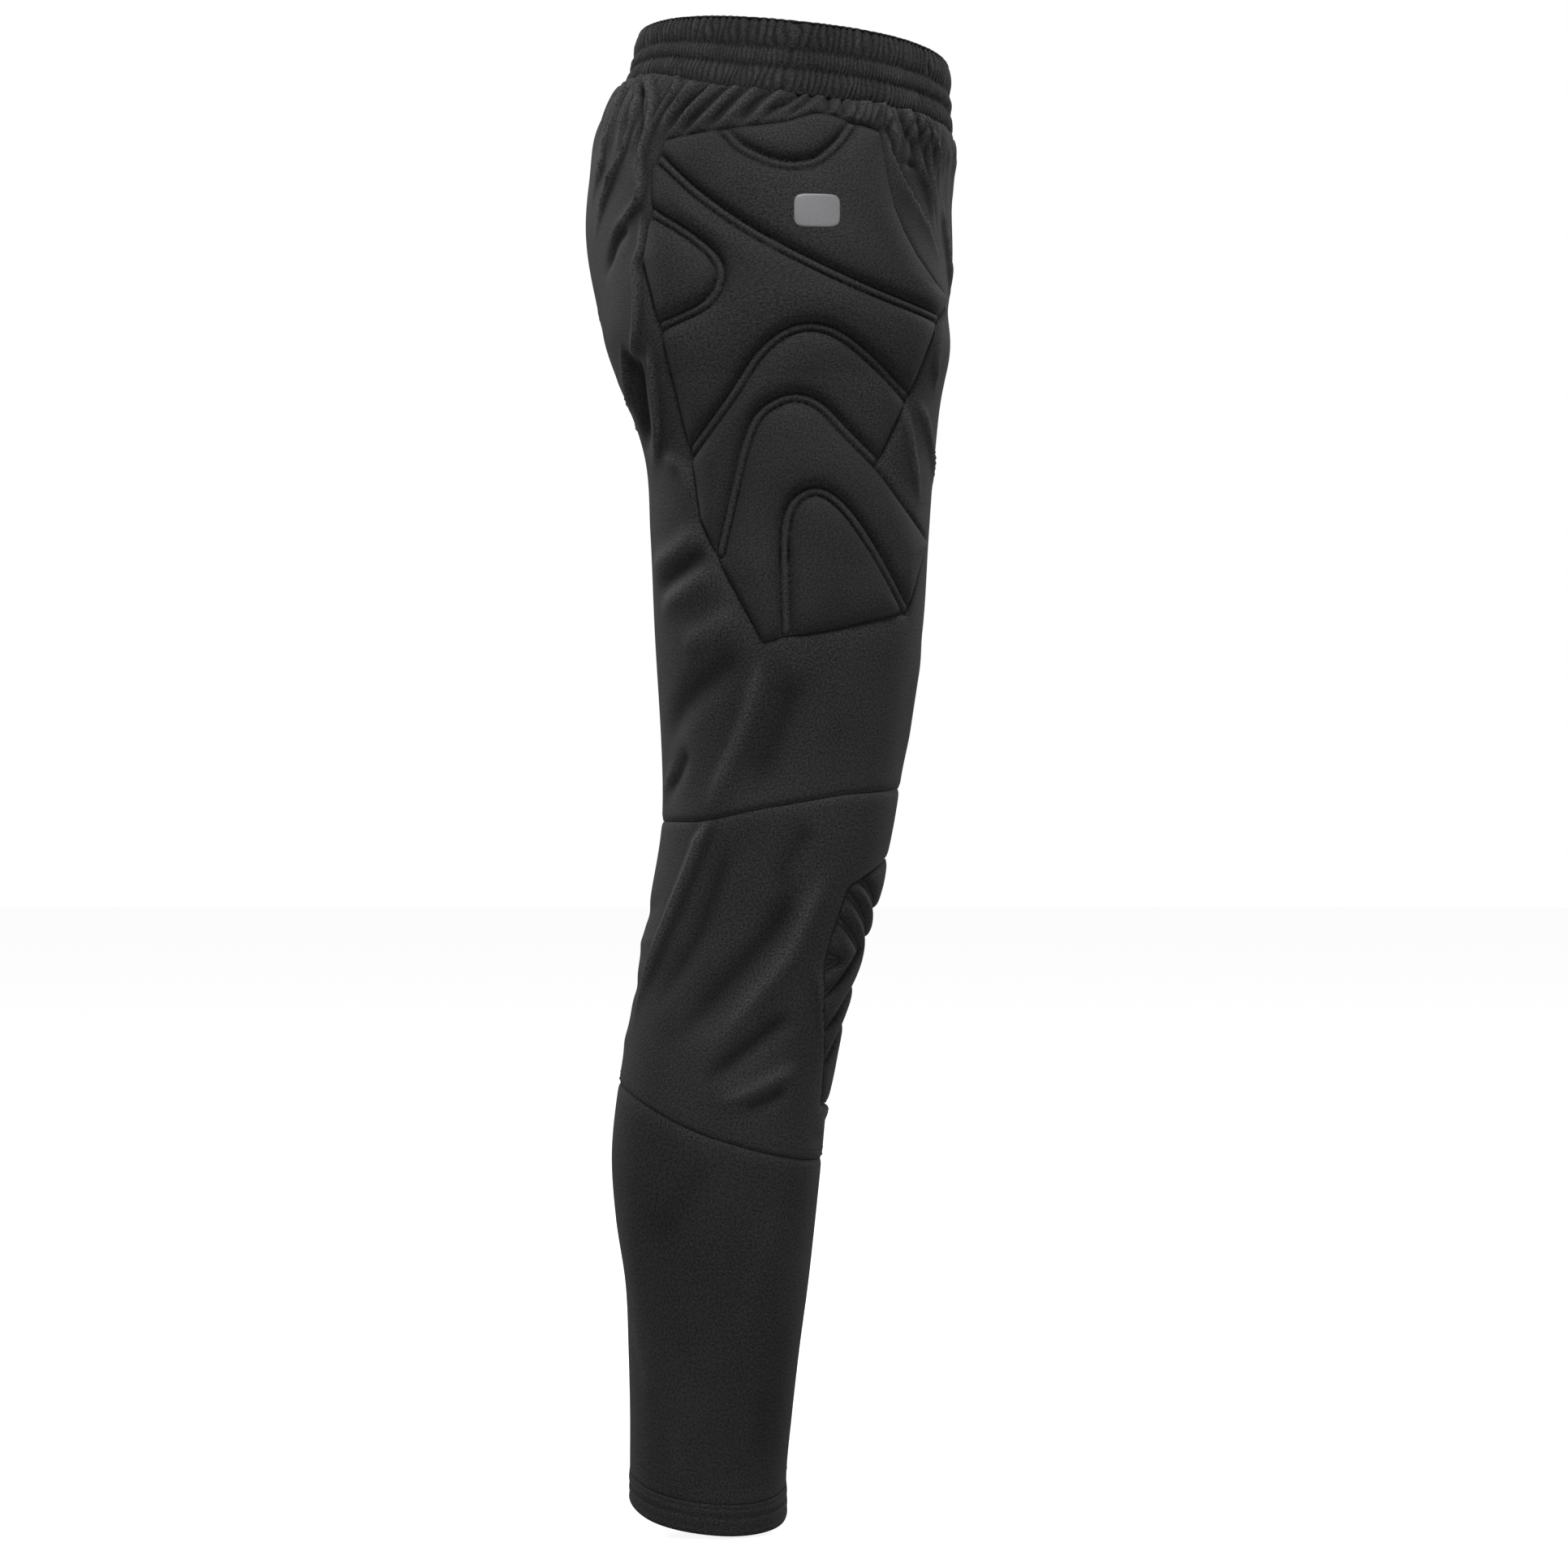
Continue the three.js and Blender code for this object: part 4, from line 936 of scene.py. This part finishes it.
def upper_leg(side):
    u = closer_columns(330)[None]
    waist, bottom = band_row(u, -WAISTBAND), knee_seam_top(u) + 0.3
    top = waist + 4.0
    row = top + (bottom - top) * np.linspace(0, 1, 148)[:, None] ** 1.3
    u = np.broadcast_to(u, row.shape)
    base, normal = face(u, row), outward(u, row)
    folds = side_folds(SIDE_FOLDS, side) + waist_gathers(side)
    rise, shade = rise_of(folds + round_folds(CROTCH_FOLDS, side, 0.012), base)
    rise *= smoothstep(row, bottom + 1, bottom + 14) * 0.85 + 0.15
    centre = np.minimum(u, 1 - u) * 600
    rise *= smoothstep(centre, 0.5, 9)
    rise -= 0.9 * np.exp(-centre / 1.6)  # the centre seam and inseam
    rise -= np.exp(-np.abs(row - bottom) / 1.6)
    below = np.abs(waist - row)
    rise = np.where(row > waist, -3.2, rise - 2.2 * np.exp(-below / 3.5))
    shade -= 0.8 * np.exp(-below / 4.5)
    dip, under_pad = HIP_PAD.dip(u, row, base, 5.2)
    rise = np.where(under_pad, dip, rise * (1 - 0.6 * smoothstep(-dip, 0.02, 0.9)) + dip)
    shade += np.where(under_pad, 0, 0.9 * dip / SEAM_DIP)
    y = base[..., 1] + normal[..., 1] * rise  # the two legs' cloth meets down to the crotch
    meet = np.where(u < 0.5, y[:, :1], y[:, -1:]) * np.exp(-centre / 8)
    cloth_tube(side, "upper_leg", "leg_panel", base, normal, rise, shade, f"{side}_hip",
               shift=meet * smoothstep(row, CROTCH - 3, CROTCH + 9),
               flat=(0.60, 0.50), held="gathered", rests_on=["waistband"])


def pocket_bag(side):
    """The pocket's bag, hidden inside behind the front of the pad."""
    edges = [side_line(points) for points in (
        [(60, -110), (84, -152)], [(20, -236), (62, -240)],
        [(60, -110), (34, -170), (20, -236)], [(84, -152), (80, -200), (62, -240)])]
    u, row = np.moveaxis(coons(edges, 40, 24)[:, ::-1], -1, 0)
    places, normal = face(u, row), outward(u, row)
    piece = shell(f"{side}_pocket_lining", places - 8.6 * normal, places - 9.8 * normal,
                  SIDES[side])
    finish_piece(piece, LINING, "lining", f"{side}_pocket_bag")
    follow(piece, f"{side}_hip")


def below_seam(columns, rows, top, bottom, folds):
    """A grid of the plain face that is tucked under the seam above, and its folds."""
    u = np.linspace(0, 1, columns)[None]
    top, bottom = top(u) - 0.3, bottom(u)
    share = np.linspace(0, 1, rows - 2)[:, None]
    row = np.vstack([top + 4, top + 1.5, top + (bottom - top) * share])
    u = np.broadcast_to(u, row.shape)
    base, normal = face(u, row), outward(u, row)
    rise, shade = rise_of(folds, base)
    rise *= smoothstep(-row, -top + 1, -top + 14)
    seam = 1.2 * np.exp(-np.abs(row - top) / 1.8)
    return u, row, bottom, base, normal, rise, shade, seam


def knee_section(side):
    u, row, bottom, base, normal, rise, shade, seam = below_seam(
        300, 130, knee_seam_top, lambda u: knee_seam_bottom(u) + 0.3,
        side_folds(KNEE_FOLDS, side) + round_folds(BACK_KNEE_FOLDS, side, 0.015))
    centre = np.minimum(u, 1 - u) * 480
    rise *= smoothstep(row, bottom + 1, bottom + 12) * smoothstep(centre, 0.5, 9)
    rise -= 0.9 * np.exp(-centre / 1.6) + np.exp(-np.abs(row - bottom) / 1.6) + seam
    rise[:2] = TUCKED
    dip, under_pad = KNEE_PAD.dip(u, row, base, 4.8)
    rise = np.where(under_pad, dip, rise + dip)
    cloth_tube(side, "knee_section", "knee_panel", base, normal, rise, shade, f"{side}_knee",
               flat=(0.49, 0.23), held="hung", rests_on=[f"{side}_upper_leg"])


def lower_leg(side):
    u, row, bottom, base, normal, rise, shade, seam = below_seam(
        240, 120, knee_seam_bottom, lambda u: hem_row(u) + HEM_HEIGHT - 6,
        side_folds(LOWER_FOLDS, side))
    rise -= 0.8 * np.exp(-np.minimum(u, 1 - u) * 360 / 1.6) + seam
    rise -= 1.5 * smoothstep(-row, -bottom - 7.5, -bottom - 4.5)
    rise[:2] = TUCKED
    cloth_tube(side, "lower_leg_tube", "lower_leg", base, normal, rise, shade, f"{side}_shin",
               STRETCH, "stretch_knit",
               flat=(0.37, 0.27), held="hung", rests_on=[f"{side}_knee_section"])


# ---------------------------------------------------------------- knee pad
KNEE_ROUND = 450
KNEE_WIDTH = [(-570, 50), (-597, 57), (-640, 60), (-668, 53), (-690, 43), (-712, 32), (-735, 24),
              (-785, 20)]
KNEE_BOTTOM = -742
TUCKED = np.array([[-3.4], [-2.9]])  # rise of the two rows under the seam above


def knee_line(points):
    """[u, row] of a line given as [offset from the knee's front line, z]."""
    line = resampled(points, 0.6)
    return np.stack([0.25 + line[:, 0] / KNEE_ROUND, line[:, 1]], axis=-1)


def soft_corner(points, near=4.0):
    """The same line with its middle corner cut into a short round one."""
    a, b, c = (np.array(p, float) for p in points)
    before, after = b + unit(a - b) * near, b + unit(c - b) * near
    middle = (before + after) / 2 * 0.45 + b * 0.55
    return [a, (a + before) / 2, before, middle, after, (c + after) / 2, c]


def knee_pad_shape():
    offsets = np.linspace(-55, 55, 41)
    top = np.stack([offsets, -574 - 18 * np.abs(offsets / 55) ** 1.5], axis=-1)
    levels = np.linspace(-592, KNEE_BOTTOM, 60)
    outer = np.stack([station(KNEE_WIDTH, 1, levels), levels], axis=-1)
    outer[0, 0] = 55
    half = outer[-1, 0]
    channels = []
    for side in (-1, 1):
        channels.append([(side * 58, -615), (side * 19, -637), (side * 53, -668)])
        channels.append([(side * 61, -639), (side * 45, -643), (side * 61, -650)])
    for half_width, end, point in ((44, -589, -612), (57, -597, -632), (42, -690, -657),
                                   (30, -712, -682)):
        channels.append([(-half_width, end), (0, point), (half_width, end)])
    edges = top[::-1], [(half, KNEE_BOTTOM), (-half, KNEE_BOTTOM)], outer, outer * (-1, 1)
    return Pad([knee_line(edge) for edge in edges],
               [knee_line(smooth(soft_corner(points))) for points in channels], 3.4, 2.4, 1.7, 0.9)


KNEE_PAD = knee_pad_shape()


# ---------------------------------------------------------------- hem and seams
def hem_row(u):
    """The row at which the face meets the hem's plane."""
    row = np.full_like(u, -1020.0)
    (x0, y0, z0), (forward, inward) = HEM_POINT, HEM_SLOPE
    for _ in range(6):
        x, y, z = np.moveaxis(face(u, row), -1, 0)
        row = row + z0 + forward * (x - x0) + inward * (y - y0) - z
    return row


def ring_stitches(level, heights, margin, count, pitch, lift):
    """Rows of stitches all round the leg, at heights above a level."""
    ring = np.linspace(margin, 1 - margin, count)
    return [Line(np.stack([ring, level(ring) + above], axis=-1)).stitches(
        0, pitch, lambda places: np.full(len(places), lift)) for above in heights]


def hem(side):
    """The turned hem: two layers, with a soft fold at the lower edge."""
    u = np.linspace(0, 1, 240, endpoint=False)
    outline = [(0.15, HEM_HEIGHT), (0.5, HEM_HEIGHT - 1.2)]
    outline += [(0.55 + 0.12 * math.sin(h * 0.9), h)
                for h in np.linspace(HEM_HEIGHT - 2.4, 2.0, 16)]
    outline += [(0.42, 1.1), (0.1, 0.45), (-0.35, 0.1), (-0.85, 0.0), (-1.35, 0.1), (-1.8, 0.5)]
    outline += [(-2.05, h) for h in np.linspace(1.4, HEM_HEIGHT, 10)]
    offset, above = np.hsplit(np.array(outline), 2)
    row = hem_row(u)[None] + above
    u = np.broadcast_to(u, row.shape)
    dent = sum(0.55 * bell(above - stitched, 0.9) for stitched in HEM_STITCHES)
    wave = 0.25 * np.sin(2 * np.pi * u * 7) * smoothstep(-above, -8, 0)
    rise = offset - np.where(offset > -1, dent, 0) + wave
    places = face(u, row) + outward(u, row) * rise[..., None]
    flat = np.stack([u * 320, row, 0 * row], axis=-1)
    piece = closed_tube(f"{side}_hem", places, flat, SIDES[side])
    finish_piece(piece, STRETCH, "stretch_knit", f"{side}_hem_band")
    follow(piece, f"{side}_shin")
    rows = ring_stitches(hem_row, HEM_STITCHES, 0.002, 500, 2.4, 0.15)
    stitching(f"{side}_hem_stitching", rows, SIDES[side], "stretch_knit", f"{side}_shin", 1.9, 0.3)


def seam_stitching(side):
    """Two rows of topstitching above the seam below the knee."""
    rows = ring_stitches(knee_seam_bottom, (2.6, 7.4), 0.003, 600, 2.8, -0.02)
    stitching(f"{side}_knee_seam_stitching", rows, SIDES[side], "knit", f"{side}_shin", 2.0, 0.34)


# ---------------------------------------------------------------- waistband
def once_round(t):
    """u for a share of the way round the waist, 0 at the centre front."""
    t = np.mod(t, 1)
    return np.clip(np.where(t <= 0.5, 2 * t, 2 * (1 - t)), 0, 1)


def around_waist(t, row, offset):
    """Points round the whole waist. t grows to the wearer's right."""
    t = np.mod(t, 1)
    u = once_round(t)
    places = face(u, row) + outward(u, row) * offset[..., None]
    places[..., 1] *= np.where(t <= 0.5, 1, -1)
    return places


def wander(t, seed, turns):
    """A smooth irregular wave round the waist, from -1 to 1."""
    random = np.random.default_rng(seed)
    total = np.zeros_like(t)
    for n in turns:
        total += np.sin(2 * np.pi * (n * t + random.random())) * random.uniform(0.6, 1)
    return total / len(turns)


def ribs(t, row, spacing, seed):
    """Gathered ribs: rounded crests with narrow valleys, at irregular steps, from 0 to 1."""
    count = round(WAIST_GIRTH / spacing)
    drift = 1.1 * wander(t, seed, (5, 9, 13, 21)) + 0.25 * wander(t + row / 900, seed + 1, (31, 44))
    phase = np.pi * (count * t + drift)
    tall = 0.75 + 0.25 * wander(t, seed + 2, (17, 29, 53))
    return np.abs(np.cos(phase)) ** 0.75 * tall


COARSE, FINE, MEDIUM = (6.4, 3), (3.3, 5), (4.7, 7)  # ribs: spacing and seed
TIER_RIBS = [(15, 3.1, COARSE), (11, 2.1, FINE), (11, 2.8, MEDIUM)]  # levels, depth, ribs


def waistband():
    t = np.linspace(0, 1, 1900, endpoint=False)
    side_seam = np.minimum(np.abs(t - 0.25), np.abs(t - 0.75)) * WAIST_GIRTH
    seam = 1.3 * bell(side_seam, 1.3) - 0.5 * bell(side_seam - 3, 1.6)
    rows = []  # offset, height and shade at each place round, from the top down and inside again
    for top, bottom, (levels, depth, pattern) in zip(TIERS, TIERS[1:], TIER_RIBS):
        levels = list(np.linspace(top, bottom, levels))
        levels = levels if bottom == TIERS[-1] else levels[:-1]
        for row in [-1.4] + levels[1:] if top == 0 else levels:
            share = (top - row) / (top - bottom)
            swell = math.sin(math.pi * min(max(share, 0.03), 0.97)) ** 0.55
            rib = ribs(t, row, *pattern)
            offset = -2.4 + 2.5 * swell + depth * (rib - 0.5) * (0.3 + 0.7 * swell) - seam
            shade = np.clip(2.2 * (rib - 0.62), -1, 0.7) * (0.35 + 0.65 * swell)
            rows.append((np.maximum(offset, -4.1), row + 0 * t, shade - 0.9 * (1 - swell)))
    inside = [(offset, -WAISTBAND - 0.2) for offset in (-1.6, -4.0)]
    inside += [(-CASING_DEPTH, row) for row in np.linspace(-WAISTBAND + 0.3, -2.2, 6)]
    for offset, row in inside:
        rows.append((offset - 0.15 * ribs(t, row, *FINE), row + 0 * t, 0 * t))
    for turn in np.linspace(0.25, np.pi - 0.35, 7):  # the rolled top edge
        row = -2.0 + 2.0 * math.sin(turn)
        rib = ribs(t, row, *COARSE)
        offset = -CASING_DEPTH * (0.5 + 0.5 * math.cos(turn)) + 0.5 * rib - 0.3
        rows.append((offset, row + 0.35 * rib, 0 * t))
    offsets, heights, relief = (np.array(part) for part in zip(*rows))
    t = np.broadcast_to(t, offsets.shape)
    places = around_waist(t, band_row(once_round(t), heights), offsets)
    flat = np.stack([t * 1150, heights, offsets], axis=-1)
    piece = closed_tube("waistband", places, flat, relief=relief.ravel())
    finish_piece(piece, KNIT, "knit", "waistband_casing_front", "waistband_casing_back")
    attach(piece, "hips")


ELASTICS = (("upper", -3.5, -19.5), ("middle", -22.5, -32.5), ("lower", -35.5, -48))


def elastics():
    """The three elastics inside the waistband."""
    for name, top, bottom in ELASTICS:
        t, depths = np.meshgrid(np.linspace(0, 1, 240, endpoint=False), np.linspace(top, bottom, 9))
        rows = band_row(once_round(t), depths)
        outer, inner = (around_waist(t, rows, np.full(t.shape, off)) for off in (-4.7, -5.8))
        flat = np.stack([t * 700, depths], axis=-1)
        band = shell(f"elastic_{name}", outer, inner, 1, ring=True, cloth=flat)
        finish_piece(band, ELASTIC, "elastic", f"waist_elastic_{name}")
        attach(band, "hips")


def waistband_stitching():
    """Zigzag rows that hold the elastic between the tiers."""
    rows = []
    for level in TIERS[1:3]:
        t = np.arange(0, 1, 2.2 / WAIST_GIRTH)
        zigzag = band_row(once_round(t), level + 0.7 * np.where(np.arange(len(t)) % 2, 1, -1))
        points, inner = (around_waist(t, zigzag, np.full(len(t), off)) for off in (-2.1, -4.0))
        beside = np.roll(points, -1, axis=0)
        rows.append(((points + beside) / 2, unit(beside - points), unit(points - inner)))
    stitching("waistband_stitching", rows, 1, "knit", "hips", 2.3, 0.28)


# ---------------------------------------------------------------- studio
AMBIENT = 0.13
LIGHTS = [  # name, place, size, power
    ("key", (0.1, -2.0, 2.9), 1.1, 165),
    ("fill", (0.4, -4.2, 0.2), 2.4, 16),
    ("rim_left", (-2.1, 1.4, 0.7), 1.3, 52),
    ("rim_right", (2.0, 2.2, 0.5), 1.3, 38),
]
MIDDLE = Vector((0, 0, -0.5))  # what the lights point at
CAMERA, LENS = (-0.0086, -3.09, -0.5126), 100.6


def placed(name, data, place):
    item = bpy.data.objects.new(name, data)
    bpy.context.scene.collection.objects.link(item)
    item.location = place
    return item


def studio():
    scene = bpy.context.scene
    scene.view_settings.view_transform = "Standard"
    bpy.ops.mesh.primitive_plane_add(size=30, location=(0, 0, CAD_BOX[0][2] - 0.002))
    floor = bpy.context.object
    floor.name = "floor"
    material, graph, shader = node_material("pale_floor", (0.5, 0.5, 0.5), 0.9, 0.1)
    shader.inputs["Emission Color"].default_value = (1, 1, 1, 1)
    seen = graph.add("LightPath").outputs["Is Camera Ray"]
    graph.join(graph.math("MULTIPLY", seen, 0.9), shader.inputs["Emission Strength"])
    floor.data.materials.append(material)
    scene.world = bpy.data.worlds.new("studio")
    scene.world.use_nodes = True
    graph = Graph(scene.world.node_tree)
    background = graph.nodes["Background"]
    background.inputs["Color"].default_value = (1, 1, 1, 1)
    seen = graph.add("LightPath").outputs["Is Camera Ray"]
    strength = graph.math("ADD", graph.math("MULTIPLY", seen, 1 - AMBIENT), AMBIENT)
    graph.join(strength, background.inputs["Strength"])
    for name, place, size, power in LIGHTS:
        light = bpy.data.lights.new(name, "AREA")
        light.shape, light.size, light.energy = "DISK", size, power
        lamp = placed(name, light, place)
        lamp.rotation_mode = "QUATERNION"
        lamp.rotation_quaternion = (MIDDLE - lamp.location).to_track_quat("-Z", "Y")


def camera():
    data = bpy.data.cameras.new("camera")
    data.sensor_width, data.lens, data.clip_end = 36, LENS, 60
    item = placed("camera", data, CAMERA)
    item.rotation_euler = (math.pi / 2, 0, 0)
    bpy.context.scene.camera = item


camera()
studio()
waistband()
elastics()
waistband_stitching()
for side in SIDES:
    upper_leg(side)
    HIP_PAD.build(side, "hip", 290, 168, HIP_LINING, 0.1, 1.6, (0.5, -250),
                  ("top", "upper", "rear", "middle", "outer_arch", "middle_arch", "inner_arch"))
    reflective_patch(side)
    pocket_bag(side)
    knee_section(side)
    KNEE_PAD.build(side, "knee", 170, 130, KNEE_LINING, 0.08, 1.5, (0.25, -650),
                   ("top", "upper_chevron", "centre", "outer_bay", "inner_bay", "lower_chevron",
                    "bottom"))
    lower_leg(side)
    hem(side)
    seam_stitching(side)
for name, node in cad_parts.items():
    if "eyelet" in name:  # the only CAD nodes that stay
        node.data.materials.clear()
        node.data.materials.append(EYELET)
